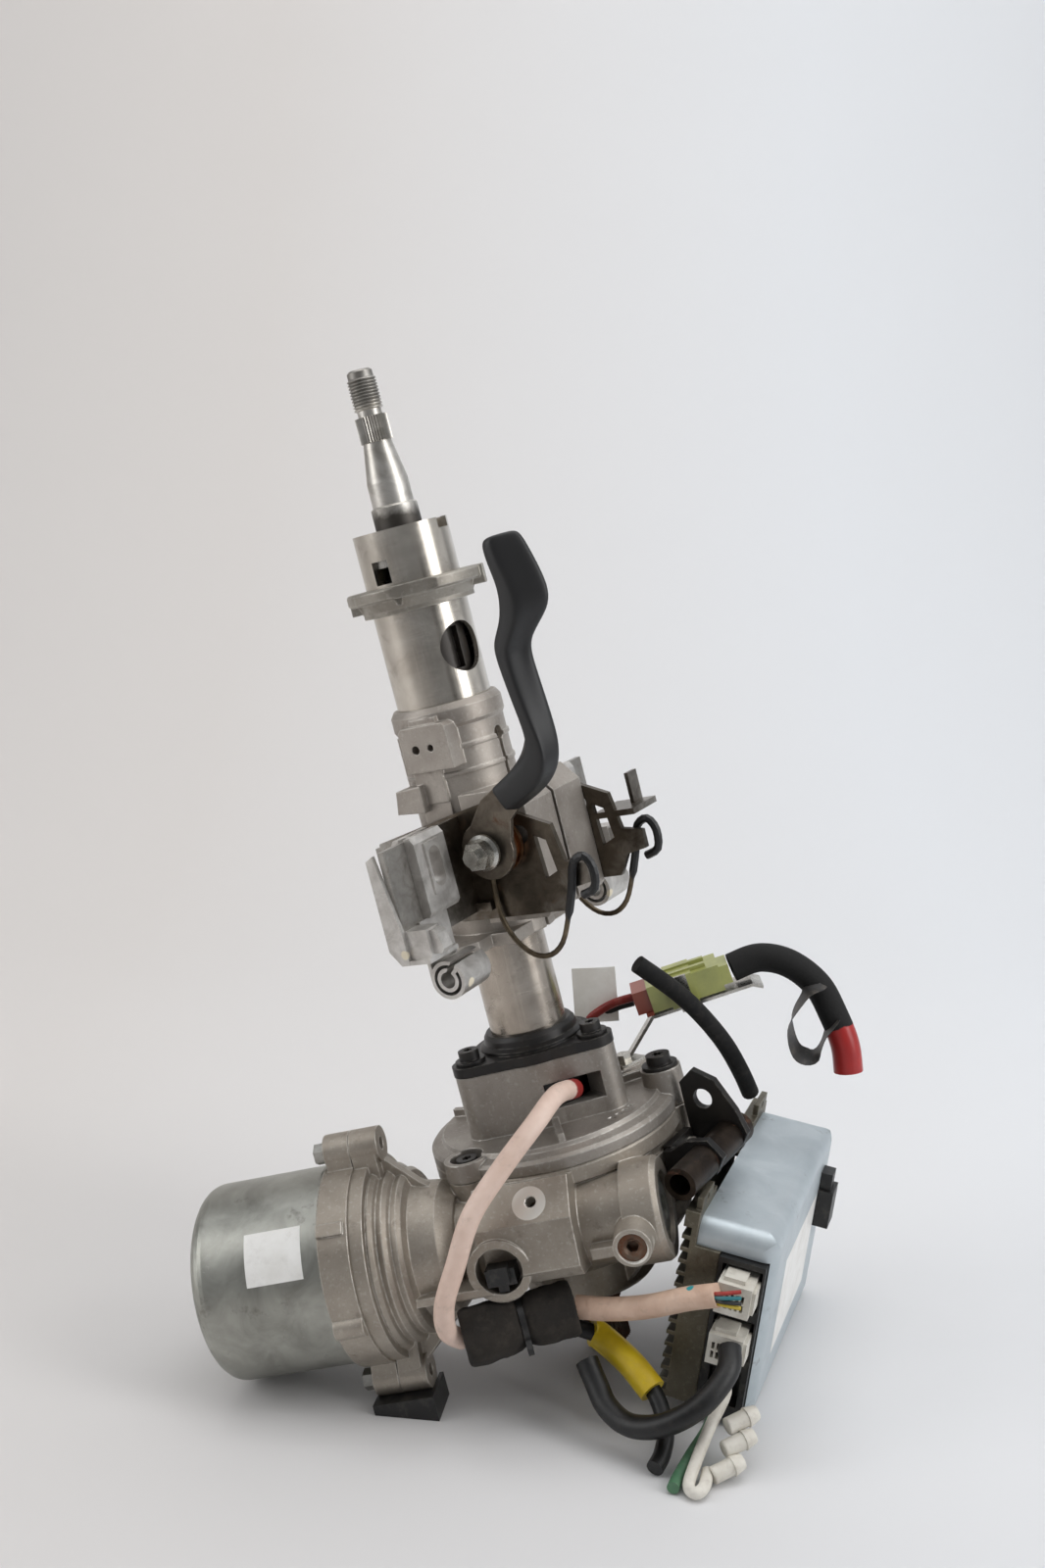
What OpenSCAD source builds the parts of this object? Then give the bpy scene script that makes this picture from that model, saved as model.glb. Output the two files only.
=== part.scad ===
// Tilt and telescope steering column with an electric assist unit, standing on a bench.
// Column frame: origin at the worm wheel centre, Z up the steering axis, X away from the motor.
// Side frame: the column frame turned about Z so that X points from the tube to the clamp bolt.

/* [Steering shaft] */
// Wheel nut thread diameter
thread_d = 14; // [12:0.5:16]
// Length of the wheel nut thread
thread_len = 19; // [14:1:24]
// Diameter over the wheel serration
serration_d = 15.6; // [14.6:0.2:18]
// Number of wheel serrations
serration_count = 36; // [24:1:48]
// Shaft diameter in the upper bearing
shaft_d = 22.5; // [20:0.5:25]
// Outside diameter of the telescoping shaft sleeve
sleeve_d = 27; // [24:0.5:32]
// Diameter of the lower shaft that slides in the sleeve
slider_d = 18; // [16:0.5:20]
// Distance over the two flats of the sliding shaft
slider_flat = 13; // [11:0.5:15]

/* [Column tubes] */
// Outside diameter of the telescoping inner tube
inner_od = 46; // [42:0.5:50]
// Wall thickness of the inner tube
inner_wall = 2.5; // [2:0.1:3.5]
// Outside diameter of the cast jacket
jacket_od = 52; // [50:0.5:54]
// Outside diameter of the lower steel tube
lower_od = 38; // [34:0.5:40]
// Wall thickness of the lower steel tube
lower_wall = 2.5; // [2:0.1:4]
// Diameter of the cast ring that carries the switches
ring_od = 66; // [58:1:72]
// Width of the clamp slit in the jacket
slit_w = 2.6; // [1.5:0.1:4]
// Diameter of the steering lock opening
lock_hole_d = 24; // [16:1:26]

/* [Clamp and bracket] */
// Diameter of the clamp bolt
bolt_d = 8; // [6:0.5:10]
// Distance between the inner faces of the bracket cheeks
cheek_gap = 53; // [53:0.5:60]
// Steel thickness of the bracket
bracket_t = 3; // [2:0.25:4]
// Tilt travel away from the rest position, degrees
tilt_out = 4; // [2:0.5:4.5]
// Tilt travel the other way, degrees
tilt_in = 1; // [0.5:0.25:1.5]
// Radius of the cam discs under the lever
cam_r = 13; // [11:0.5:14]
// Thickness of the rubber grip of the lever
grip_t = 14; // [10:0.5:16]
// Outside diameter of the curled steel strips
curl_d = 18; // [14:0.5:20]
// Wire diameter of the balance springs
spring_wire = 2.6; // [2:0.1:3.2]

/* [Gear unit] */
// Axial module of the worm gear
gear_module = 2.1; // [1.9:0.05:2.2]
// Teeth on the worm wheel
wheel_teeth = 41; // [38:1:41]
// Distance between worm axis and steering axis
gear_centre = 52; // [52:0.25:55]
// Width of the worm wheel rim
rim_w = 15; // [12:0.5:18]
// Outside radius of the gear housing
housing_r = 61; // [58:0.5:64]
// Casting wall thickness of the gear housing
casting_t = 4.5; // [3.5:0.25:6]
// Diameter of the output shaft spline
output_d = 22; // [18:0.5:24]
// Number of output spline teeth
output_teeth = 36; // [24:1:48]

/* [Motor] */
// Outside diameter of the motor can
can_d = 94; // [88:1:98]
// Length of the motor can
can_len = 67; // [60:1:72]
// Sheet thickness of the motor can
can_t = 2.2; // [1.5:0.1:3]
// Radius of the rounded edge at the closed end of the can
can_edge_r = 8; // [4:0.5:12]
// Radius of the motor flange
motor_flange_r = 49.5; // [49:0.25:49.8]

/* [Control unit] */
// Length of the control unit
unit_l = 142; // [130:1:150]
// Height of the control unit
unit_h = 97; // [90:1:100]
// Depth of the sheet metal cover
cover_d = 38; // [32:1:42]
// Thickness of the finned base without its fins
base_t = 3; // [2.5:0.25:4]
// Height of the cooling fins
fin_h = 4; // [3:0.5:4.5]
// Distance between the cooling fins
fin_pitch = 6.2; // [5:0.1:8]

/* [Fits] */
// Running clearance on the radius between sliding and turning metal parts
run_fit = 0.06; // [0.02:0.01:0.1]
// Free gap between parts that pass each other without touching
free_gap = 0.4; // [0.3:0.05:0.6]
// Backlash taken off each tooth flank
backlash = 0.25; // [0.2:0.05:0.35]

/* [Hidden] */
$fn = 48;
// Turn of the side frame about the steering axis
side_turn = -22;
// Clamp bolt position in the side frame
bolt_x = 31;
bolt_z = 182;
// Tilt pivot position in the side frame
pivot_x = 83;
pivot_z = 13;
// Heights along the steering axis
shaft_top = 410;
thread_z = shaft_top - thread_len;
serration_z = thread_z - 15;
taper_z = serration_z - 19;
tube_top = 335;
tube_foot = 205;
jacket_top = 250;
jacket_foot = 133;
flange_top = 77;
flange_z = 72;
deck_z = 40;
rim_z = 30;
// Fitted radii that two parts share
inner_r = inner_od / 2;
inner_bore = inner_r - inner_wall;
lower_r = lower_od / 2;
bolt_r = bolt_d / 2;
shaft_r = shaft_d / 2;
cheek_y = cheek_gap / 2;
lug_y = cheek_y - 0.3;
jacket_r = min(jacket_od / 2, lug_y);
// Worm gear geometry
worm_starts = 2;
pitch_axial = PI * gear_module;
lead = pitch_axial * worm_starts;
wheel_pr = gear_module * wheel_teeth / 2;
worm_pr = gear_centre - wheel_pr;
worm_tip = worm_pr + gear_module;
worm_root = worm_pr - 1.25 * gear_module;
wheel_tip = wheel_pr + gear_module;
wheel_root = wheel_pr - 1.25 * gear_module;
lead_angle = atan(lead / (2 * PI * worm_pr));
rim_bore = wheel_root - 6;
output_r = output_d / 2;
bearing_r = 12.5;
// Radius of the wheel room, and the face that the lower bracket is bolted to
room_r = wheel_tip + 3.35;
pad_v = housing_r - 0.8;
journal_r = 6;
can_r = can_d / 2;
can_end = -101 - can_len;
// Angles of the three column flange bolts and of the three cover bolts
flange_angles = [-22, -142, 98];
flange_pcd_r = 35;
cover_angles = [7, -127, 122];
cover_pcd_r = 58;
// Angles of the two motor ears about the motor axis, and of the small screw boss
ear_angles = [90, 252];
ear_r = can_r + 8.6;
boss_angle = 195;
// Routes of the cords over the bench, in bench coordinates
sensor_route = [[21, -24, 146], [12, -45, 151], [2, -64, 145], [-14, -76, 127], [-27, -83, 108], [-34, -87, 86],
    [-39, -89, 68], [-38, -85, 53], [-31, -80, 46]];
sleeve_route = [[21, -72, 58], [37, -76, 59], [54, -81, 63], [71, -87, 70], [84, -93, 75], [94, -93, 75]];
loop_route = [[90, -93, 49], [88, -103, 43], [76, -113, 33], [60, -113, 23], [45, -104, 17], [35, -94, 20],
    [30, -85, 27], [26, -78, 34]];
motor_route = [[18.4, -64.7, 47.8], [19, -60, 42], [33, -63, 38], [46, -76, 32], [57, -88, 23], [61, -100, 13], [59, -110, 7],
    [55, -118, 4.5]];
white_route = [[95.6, -69.1, 25.4], [90, -84, 26], [88, -95, 26], [80, -108, 18], [73, -120, 9], [69, -130, 4], [72, -135, 3.6],
    [76, -130, 4], [78, -121, 5]];
green_route = [[92, -67.8, 19.4], [86, -85, 20], [81, -98, 13], [72, -112, 8], [65, -123, 3.6], [62, -131, 3.4]];
power_route = [[21, 57, 138], [27, 51, 150], [36, 47, 159], [44, 44, 164.6], [53.4, 42.7, 168]];
taped_route = [[103, 43, 185], [117, 44, 190], [132, 41, 188], [146, 37, 178], [154, 33, 164], [160, 29, 149],
    [162, 27, 135]];
control_route = [[116, 53, 113], [110, 47, 127], [100, 38, 146], [86, 26, 166], [72, 19, 181], [53, 15, 196]];
peg_places = [[94, -105, 20], [92, -112, 13], [86, -121, 6]];

// Places the column frame on the bench, leaning as it stands
module bench() {
    translate([19.9, 2.72, 85.76])
        rotate([-1.54, -14.61, -8.84])
            children();
}

module side() {
    rotate([0, 0, side_turn])
        children();
}

// Turns an extrusion so that its height runs along Y of the side frame, drawn in X and Z
module along_y(y0, h) {
    translate([0, y0 + h, 0])
        rotate([90, 0, 0])
            linear_extrude(height = h)
                children();
}

module motor_axis() {
    translate([0, -gear_centre, 0])
        rotate([0, 90, 0])
            children();
}

module tube(r1, r0, z0, z1) {
    translate([0, 0, z0])
        difference() {
            cylinder(r = r1, h = z1 - z0);
            translate([0, 0, -1])
                cylinder(r = r0, h = z1 - z0 + 2);
        }
}

function star(count, r_out, r_in) = [for (i = [0 : 2 * count - 1])
    let (r = (i % 2 == 0) ? r_out : r_in) [r * cos(i * 180 / count), r * sin(i * 180 / count)]];

// Round section with two flats, grown by a clearance
module slider_section(gap) {
    intersection() {
        circle(d = slider_d + 2 * gap);
        square([slider_flat + 2 * gap, slider_d * 2], center = true);
    }
}

// Turned steel shaft: wheel thread, serration, taper, bearing seat and telescoping sleeve
module upper_shaft()
bench() {
    pitch = 1.5;
    turns = floor((thread_len - 3) / pitch);
    color([0.42, 0.41, 0.39])
    difference() {
        union() {
            rotate_extrude()
                polygon(concat(
                    [[0, 212], [sleeve_d / 2 - 1, 212], [sleeve_d / 2, 213], [sleeve_d / 2, 311],
                        [shaft_r + 1, 312], [shaft_r, 312], [shaft_r, 345], [10, 346], [10, taper_z],
                        [serration_d / 2 - 1, serration_z], [serration_d / 2 - 1, thread_z - 3],
                        [thread_d / 2 - 1.2, thread_z - 3], [thread_d / 2 - 1.2, thread_z]],
                    [for (i = [0 : turns - 1]) each [[thread_d / 2 - 0.9, thread_z + i * pitch + 0.1],
                        [thread_d / 2, thread_z + i * pitch + 0.65],
                        [thread_d / 2, thread_z + i * pitch + 0.85]]],
                    [[thread_d / 2 - 0.9, thread_z + turns * pitch + 0.1], [thread_d / 2 - 0.9, shaft_top - 1],
                        [thread_d / 2 - 2, shaft_top], [0, shaft_top]]));
            translate([0, 0, serration_z])
                linear_extrude(height = 12)
                    polygon(star(serration_count, serration_d / 2, serration_d / 2 - 0.7));
        }
        translate([0, 0, 200])
            linear_extrude(height = 100)
                slider_section(free_gap);
        translate([0, 0, shaft_top - 6])
            cylinder(r1 = 1, r2 = 2.5, h = 7);
    }
}

// Slotted collar on the sleeve that the steering lock bolt drops into
module lock_collar()
bench() {
    color([0.2, 0.2, 0.21])
    difference() {
        tube(18, sleeve_d / 2, 260, 288);
        for (a = [0 : 45 : 315])
            rotate([0, 0, a + 10])
                translate([14, -3, 264])
                    cube([8, 6, 20]);
    }
}

// Machined aluminium tube with the lock opening, the switch window and a rim notch
module inner_tube()
bench() {
    color([0.78, 0.78, 0.78])
    difference() {
        tube(inner_r, inner_bore, tube_foot, tube_top);
        rotate([0, 0, -35])
            translate([10, 0, 274])
                rotate([0, 90, 0])
                    cylinder(d = lock_hole_d, h = 20);
        rotate([0, 0, -113])
            translate([12, -4.5, 310.5])
                cube([20, 9, 11]);
        rotate([0, 0, -14])
            translate([12, -5, tube_top - 5])
                cube([20, 10, 8]);
        rotate([0, 0, 150])
            translate([12, -4, tube_top - 3])
                cube([20, 8, 8]);
    }
}

// Cast ring pressed on the tube, with a thin flange of two rounded lugs and a lower hub
module switch_ring()
bench() {
    color([0.62, 0.62, 0.6])
    difference() {
        union() {
            tube(inner_r + 4, inner_r - 0.5, 296, 303);
            rotate_extrude()
                polygon([[inner_r + 3, 303.5], [inner_r + 6, 303.5], [inner_r + 6, 302.5], [inner_r + 3, 296]]);
            intersection() {
                rotate_extrude()
                    polygon([[inner_r - 0.5, 303], [ring_od / 2 - 1, 303], [ring_od / 2, 304],
                        [ring_od / 2, 308], [ring_od / 2 - 1, 309], [inner_r - 0.5, 309]]);
                rotate([0, 0, 12])
                    translate([0, 0, 306])
                        cube([80, 62, 10], center = true);
            }
            rotate([0, 0, 8])
                translate([inner_r + 2, -7, 300])
                    cube([ring_od / 2 - inner_r - 1, 14, 9]);
            rotate([0, 0, 188])
                translate([inner_r + 2, -9, 299])
                    cube([ring_od / 2 - inner_r - 3.6, 18, 9.5]);
        }
        translate([0, 0, 290])
            cylinder(r = inner_r, h = 30);
        for (a = [40, 150, 265])
            rotate([0, 0, a])
                translate([inner_r + 6, 0, 300])
                    cylinder(r = 1.7, h = 12);
    }
}

// Needle bearing shell between the inner tube and the shaft
module upper_bearing()
bench() {
    color([0.35, 0.35, 0.36])
    difference() {
        tube(inner_bore, shaft_r + run_fit, 318, 329);
        for (z = [317, 327])
            tube(inner_bore - 2.2, shaft_r + 2.2, z, z + 3);
    }
}

// Die cast jacket: bore for the inner tube, clamp lugs, slit with keyhole, bosses and foot plate
module outer_jacket()
bench() {
    color([0.6, 0.59, 0.57])
    side()
    difference() {
        union() {
            rotate_extrude()
                polygon([[0, jacket_foot], [jacket_r, jacket_foot], [jacket_r, 238],
                    [jacket_r + 1.2, 240], [jacket_r + 1.2, 247], [jacket_r - 0.8, jacket_top], [0, jacket_top]]);
            // clamp lugs that the cheeks squeeze together
            along_y(-lug_y, 2 * lug_y)
                polygon([[12, 144], [45, 144], [47, 146], [47, 198], [39, 207], [12, 207]]);
            // block with two small tapped holes
            along_y(-30, 14)
                polygon([[-10, 221], [17, 221], [17, 241], [15, 243], [-8, 243], [-10, 241]]);
            along_y(-28, 14)
                polygon([[-4, 240], [11, 240], [11, 246], [-4, 246]]);
            // strip rib under the block
            along_y(-lug_y, 14)
                polygon([[-9, 150], [7, 150], [7, 222], [-9, 222]]);
            along_y(-lug_y - 0.9, 4)
                polygon([[-9, 205], [7, 205], [7, 222], [-9, 222]]);
            // stub lug and parting line ribs
            along_y(-31, 18)
                polygon([[-21, 203], [-5, 202], [-5, 215], [-19, 214]]);
            along_y(-6, 12)
                polygon([[-29, 202], [-10, 202], [-10, 236], [-29, 236]]);
            for (z = [216, 228])
                translate([0, 0, z])
                    tube(jacket_r + 0.8, 10, 0, 2);
            // foot plate
            translate([0, 0, jacket_foot])
                linear_extrude(height = 6)
                    polygon([[-26, -38], [-18, -46], [5, -46], [11.5, -39], [11.5, -28], [24, -26], [24, 26],
                        [11.5, 28], [11.5, 34], [5, 40], [-18, 40], [-26, 32]]);
        }
        translate([0, 0, 165])
            cylinder(r = inner_r + run_fit, h = 100);
        translate([0, 0, jacket_foot - 1])
            cylinder(r = lower_r, h = 40);
        // slit and keyhole
        translate([8, -slit_w / 2, 120])
            cube([50, slit_w, 110]);
        translate([8, 0, 230])
            rotate([0, 90, 0])
                cylinder(r = 3.4, h = 30);
        // clamp bolt bore
        translate([bolt_x, 40, bolt_z])
            rotate([90, 0, 0])
                cylinder(r = bolt_r + run_fit, h = 80);
        for (x = [-2, 6.5])
            translate([x, -24, 232])
                rotate([90, 0, 0])
                    cylinder(r = x < 0 ? 2.1 : 1.7, h = 10);
        // weight saving pocket at the back
        translate([-16, 20, 172])
            cube([26, 10, 38]);
    }
}

// Welded steel tube between the gear unit and the jacket
module lower_tube()
bench() {
    color([0.56, 0.56, 0.56])
        tube(lower_r, lower_r - lower_wall, flange_z, 163);
}

// Three lobed outline shared by the column flange and the tower below it
module lobed(r_mid, r_lobe) {
    circle(r = r_mid);
    for (a = flange_angles)
        rotate(a) {
            translate([flange_pcd_r, 0])
                circle(r = r_lobe);
            polygon([[r_mid * cos(42), -r_mid * sin(42)], [flange_pcd_r + r_lobe * 0.35, -r_lobe * 0.936],
                [flange_pcd_r + r_lobe * 0.35, r_lobe * 0.936], [r_mid * cos(42), r_mid * sin(42)], [0, 0]]);
        }
}

// Black flange plate with the welded collar around the tube
module column_flange()
bench() {
    color([0.09, 0.09, 0.1])
    difference() {
        union() {
            translate([0, 0, flange_z])
                linear_extrude(height = flange_top - flange_z)
                    lobed(30, 9.6);
            rotate_extrude()
                polygon([[lower_r - 0.5, flange_top - 1], [lower_r + 7, flange_top - 1], [lower_r + 7, 78.5],
                    [lower_r + 4.5, 80], [lower_r + 4, 83], [lower_r + 2.5, 85], [lower_r - 0.5, 85]]);
        }
        translate([0, 0, flange_z - 1])
            cylinder(r = lower_r, h = 20);
        for (a = flange_angles)
            rotate([0, 0, a])
                translate([flange_pcd_r, 0, flange_z - 1])
                    cylinder(r = 3.3, h = 10);
    }
}

// Flange head screw with a six point socket, head resting at z = 0
module socket_screw(r, len, head_r, head_h) {
    difference() {
        union() {
            translate([0, 0, -len])
                cylinder(r = r, h = len + 1);
            cylinder(r = head_r, h = head_h * 0.28);
            cylinder(r = head_r * 0.68, h = head_h);
        }
        translate([0, 0, head_h - 2.6])
            linear_extrude(height = 4)
                polygon(star(6, head_r * 0.36, head_r * 0.25));
    }
}

module flange_bolts()
bench() {
    color([0.05, 0.05, 0.05])
    for (a = flange_angles)
        rotate([0, 0, a])
            translate([flange_pcd_r, 0, flange_top])
                socket_screw(3, 16, 7.4, 6.4);
}

// Die cast cover with the sensor tower, its lead pocket and three bolt bosses
module sensor_cover()
bench() {
    color([0.63, 0.62, 0.6])
    difference() {
        union() {
            rotate_extrude()
                polygon([[14, rim_z], [housing_r + 1, rim_z], [housing_r + 1, 35], [housing_r - 0.5, 36.5],
                    [housing_r - 5, 38], [housing_r - 6, deck_z], [14, deck_z]]);
            translate([0, 0, deck_z - 1])
                linear_extrude(height = flange_z - deck_z + 1)
                    lobed(29.6, 9.2);
            rotate([0, 0, cover_angles[0]])
                translate([cover_pcd_r, 0, rim_z])
                    cylinder(r1 = 10.6, r2 = 10, h = 18);
            rotate([0, 0, cover_angles[1]])
                translate([cover_pcd_r, 0, rim_z])
                    cylinder(r1 = 11.5, r2 = 11, h = 9);
            rotate([0, 0, cover_angles[2]])
                translate([cover_pcd_r, 0, rim_z])
                    cylinder(r1 = 10.6, r2 = 10, h = 12);
            // stiffening rib along the deck and shelf for the connector clip
            for (a = [-75, 25, 60, 165])
                rotate([0, 0, a])
                    translate([26, -1.5, deck_z - 1])
                        cube([28, 3, 5]);
            rotate([0, 0, 45])
                translate([40, -9, rim_z])
                    cube([19, 18, 14]);
        }
        // sensor room and the bore for the shaft
        translate([0, 0, rim_z - 1])
            cylinder(r = 26, h = 37);
        cylinder(r = 15, h = 100);
        // pocket where the sensor lead comes out
        rotate([0, 0, -52])
            translate([22, -13, 48])
                cube([20, 26, 13]);
        // bolt holes, the second one sunk
        for (a = cover_angles)
            rotate([0, 0, a])
                translate([cover_pcd_r, 0, 0])
                    cylinder(r = 4.2, h = 60);
        rotate([0, 0, cover_angles[1]])
            translate([cover_pcd_r, 0, 34])
                cylinder(r = 8.2, h = 20);
        for (a = flange_angles)
            rotate([0, 0, a])
                translate([flange_pcd_r, 0, 54])
                    cylinder(r = 3, h = 20);
        rotate([0, 0, 45])
            translate([50, 0, 30])
                cylinder(r = 2.5, h = 20);
        // cast-in marks on the deck
        for (a = [-24, -30, -36, -42])
            rotate([0, 0, a])
                translate([46, -1.2, deck_z - 0.5])
                    cube([4, 2.4, 2]);
    }
}

module cover_bolts()
bench() {
    color([0.06, 0.06, 0.06])
    for (i = [0 : 2])
        rotate([0, 0, cover_angles[i]])
            translate([cover_pcd_r, 0, [48, 34, 42][i]])
                socket_screw(4, [34, 16, 28][i], [9, 7.6, 9][i], [6.6, 4.6, 6.6][i]);
}

// Ring shaped torque sensor with its coil housing and board
module torque_sensor()
bench() {
    color([0.12, 0.3, 0.16])
    difference() {
        union() {
            tube(24, 15.5, 46, 60);
            tube(25.6, 15.5, 42, 45);
            translate([0, 0, 45])
                tube(22, 15.5, 0, 1);
        }
        tube(30, 21, 50, 56);
    }
}

// Spoked outline of the bottom of the casting
module housing_ribs() {
    for (a = [15 : 60 : 315])
        rotate([0, 0, a])
            rotate([90, 0, 0])
                translate([0, 0, -2])
                    linear_extrude(height = 4)
                        polygon([[20, -24], [56, -24], [56, -26], [32, -46], [20, -46]]);
}

// Die cast gear housing: wheel room, worm tunnel, motor neck, plug boss, pad and cable loop
module gear_housing()
bench() {
    color([0.64, 0.63, 0.61])
    difference() {
        union() {
            rotate_extrude()
                polygon([[0, -50], [31, -50], [33, -48], [34, -28], [54, -25], [housing_r - 3, -20],
                    [housing_r - 2, 20], [housing_r + 1, 22], [housing_r + 1, rim_z - 1.2],
                    [housing_r + 0.2, rim_z], [0, rim_z]]);
            housing_ribs();
            for (i = [0 : 2])
                rotate([0, 0, cover_angles[i]])
                    translate([cover_pcd_r, 0, -2])
                        cylinder(r1 = 9, r2 = [11.5, 11, 10.6][i], h = rim_z + 1.5);
            // worm tunnel, its right collar and the cone to the motor
            motor_axis() {
                translate([0, 0, -48])
                    cylinder(r = 21, h = 100);
                translate([0, 0, 37])
                    cylinder(r = 24.5, h = 15);
                translate([0, 0, 52])
                    cylinder(r1 = 24.5, r2 = 23, h = 2.5);
                rotate_extrude()
                    polygon([[0, -80], [44, -80], [45, -78], [43.6, -76], [41.5, -75], [42.4, -72], [40.6, -70],
                        [38.6, -69], [39.4, -66], [37.6, -64], [33, -62.5], [31.5, -58], [30.5, -50],
                        [24, -43], [0, -43]]);
                translate([0, 0, -86])
                    cylinder(r = motor_flange_r - 1, h = 7);
                for (a = ear_angles)
                    rotate([0, 0, 90 + a]) {
                        translate([ear_r, 0, -85.9])
                            cylinder(r = 8.5, h = 13.9);
                        translate([24, -8.3, -85.7])
                            cube([ear_r - 24, 16.6, 11.7]);
                    }
                // web from the lower ear back to the tunnel
                rotate([0, 0, 90 + ear_angles[1]])
                    rotate([90, 0, 0])
                        translate([0, 0, -2.5])
                            linear_extrude(height = 5)
                                polygon([[20, -84], [52, -84], [52, -74], [26, -46], [20, -40]]);
                rotate([0, 0, 90 + ear_angles[0]])
                    rotate([90, 0, 0])
                        translate([0, 0, -2.5])
                            linear_extrude(height = 5)
                                polygon([[20, -84], [52, -84], [52, -76], [34, -58], [20, -40]]);
            }
            // long rib from the motor flange to the cable loop
            translate([-79, -87.4, -13.7])
                cube([52, 30, 4]);
            // block that joins tunnel and wheel room
            translate([-46, -58, -20])
                cube([96, 30, 40]);
            // boss of the adjuster plug
            translate([41, -58, -2])
                rotate([90, 0, 0])
                    cylinder(r1 = 11, r2 = 9, h = 30);
            translate([20, -80, -8])
                cube([24, 24, 5]);
            // angular pod with the machined pad
            translate([-30, 0, 0])
                rotate([90, 0, 90])
                    linear_extrude(height = 46)
                        polygon([[-56, 26], [-70, 31], [-84, 16], [-88, -6], [-84, -12], [-56, -18]]);
            // cable loop under the pod
            translate([-22, -77, -3])
                rotate([90, 0, 0])
                    tube(15, 11, 0, 10);
            // pad for the lower bracket at the right
            side()
                along_y(-11, 30)
                    polygon([[48, -14], [pad_v, -10], [pad_v, 17], [48, 17]]);
        }
        // wheel room and bearing seats
        translate([0, 0, -22])
            cylinder(r = room_r, h = 60);
        translate([0, 0, -38])
            cylinder(r = 26, h = 20);
        translate([0, 0, -60])
            cylinder(r = bearing_r + 3, h = 40);
        // worm room and bearing seats along the motor axis
        motor_axis() {
            translate([0, 0, -40])
                cylinder(r = worm_tip + 2.5, h = 80);
            translate([0, 0, 28])
                cylinder(r = 14, h = 24);
            translate([0, 0, 46.9])
                cylinder(r = 17, h = 20);
            translate([0, 0, -60])
                cylinder(r = 15, h = 26);
            translate([0, 0, -90])
                cylinder(r1 = 36, r2 = 20, h = 42);
            for (a = ear_angles)
                rotate([0, 0, 90 + a])
                    translate([ear_r, 0, -90])
                        cylinder(r = 3, h = 30);
        }
        // opening between worm room and wheel room
        translate([-34, -54, -10.5])
            cube([68, 30, 21]);
        // plug bore
        translate([41, -62, -2])
            rotate([90, 0, 0])
                cylinder(r = 6.8, h = 40);
        // pad hole, drilled square to the sloping pad
        translate([-2, -77, 23.5])
            rotate([47, 0, 0])
                translate([0, 0, -14])
                    cylinder(r = 2.6, h = 26);
        // cover bolt holes
        for (i = [0 : 2])
            rotate([0, 0, cover_angles[i]])
                translate([cover_pcd_r, 0, [12, 17.5, 12][i]])
                    cylinder(r = 4, h = 40);
        // room of the cable loop
        translate([-22, -78, -3])
            rotate([90, 0, 0])
                cylinder(r = 11, h = 20);
        side()
            for (y = [3, 14.6])
                translate([50, y, 11])
                    rotate([0, 90, 0])
                        cylinder(r = 3, h = 20);
    }
}

// Two sealed ball bearings that carry the output shaft
module output_bearings()
bench() {
    color([0.5, 0.5, 0.52])
    for (z = [-38, 29])
        difference() {
            tube(26, bearing_r, z, z + 11);
            for (d = [-1, 10])
                tube(21, bearing_r + 4, z + d, z + d + 2);
        }
}

module worm_bearings()
bench() {
    color([0.5, 0.5, 0.52])
    motor_axis()
        for (p = [[-45, 15], [36, 14]])
            difference() {
                tube(p[1], journal_r + run_fit, p[0], p[0] + 10);
                for (d = [-1, 9])
                    tube(11.5, journal_r + 2.6, p[0] + d, p[0] + d + 2);
            }
}

// Radius of the worm surface at a distance s along one axial pitch, a trapezoid tooth of 20 degrees
function worm_radius(s) =
    let (m = gear_module, half = pitch_axial / 4 - backlash, x = abs(s - pitch_axial / 2),
        r = worm_pr + (half - x) / tan(20))
    min(worm_tip, max(worm_root, r));

worm_points = 24;

// Steel worm shaft: two start thread, bearing journals and the drive square for the motor
module worm_shaft()
bench() {
    len = 46;
    color([0.55, 0.55, 0.56])
    motor_axis() {
        rotate([0, 0, -180 * len / lead])
            translate([0, 0, -len / 2])
                linear_extrude(height = len, twist = -360 * len / lead, slices = 56)
                    polygon([for (i = [0 : worm_points - 1])
                        let (a = i * 360 / worm_points, s = (a / 360 * lead + 0.5 * pitch_axial) % pitch_axial,
                            r = worm_radius(pitch_axial - s))
                            [r * cos(a), r * sin(a)]]);
        for (p = [[-28, 5.5, 8], [22.5, 13.3, 8], [-46, 18.1, journal_r], [35.7, 10.6, journal_r],
            [-60, 14.1, 5]])
            translate([0, 0, p[0]])
                linear_extrude(height = p[1])
                    polygon([for (i = [0 : 23]) [p[2] * cos(i * 15), p[2] * sin(i * 15)]]);
    }
}

// Steel hub of the worm wheel, outside a prism that keys into the plastic rim
module wheel_hub()
bench() {
    color([0.5, 0.5, 0.5])
    difference() {
        union() {
            translate([0, 0, -rim_w / 2 + 1])
                linear_extrude(height = rim_w - 2)
                    polygon(star(18, rim_bore, rim_bore));
            tube(20, output_r + 2, -10, 10);
        }
        translate([0, 0, -30])
            cylinder(r = output_r + 2, h = 60);
        for (a = [0 : 60 : 300])
            rotate([0, 0, a])
                translate([25.5, 0, -20])
                    cylinder(r = 4.2, h = 40);
    }
}

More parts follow.
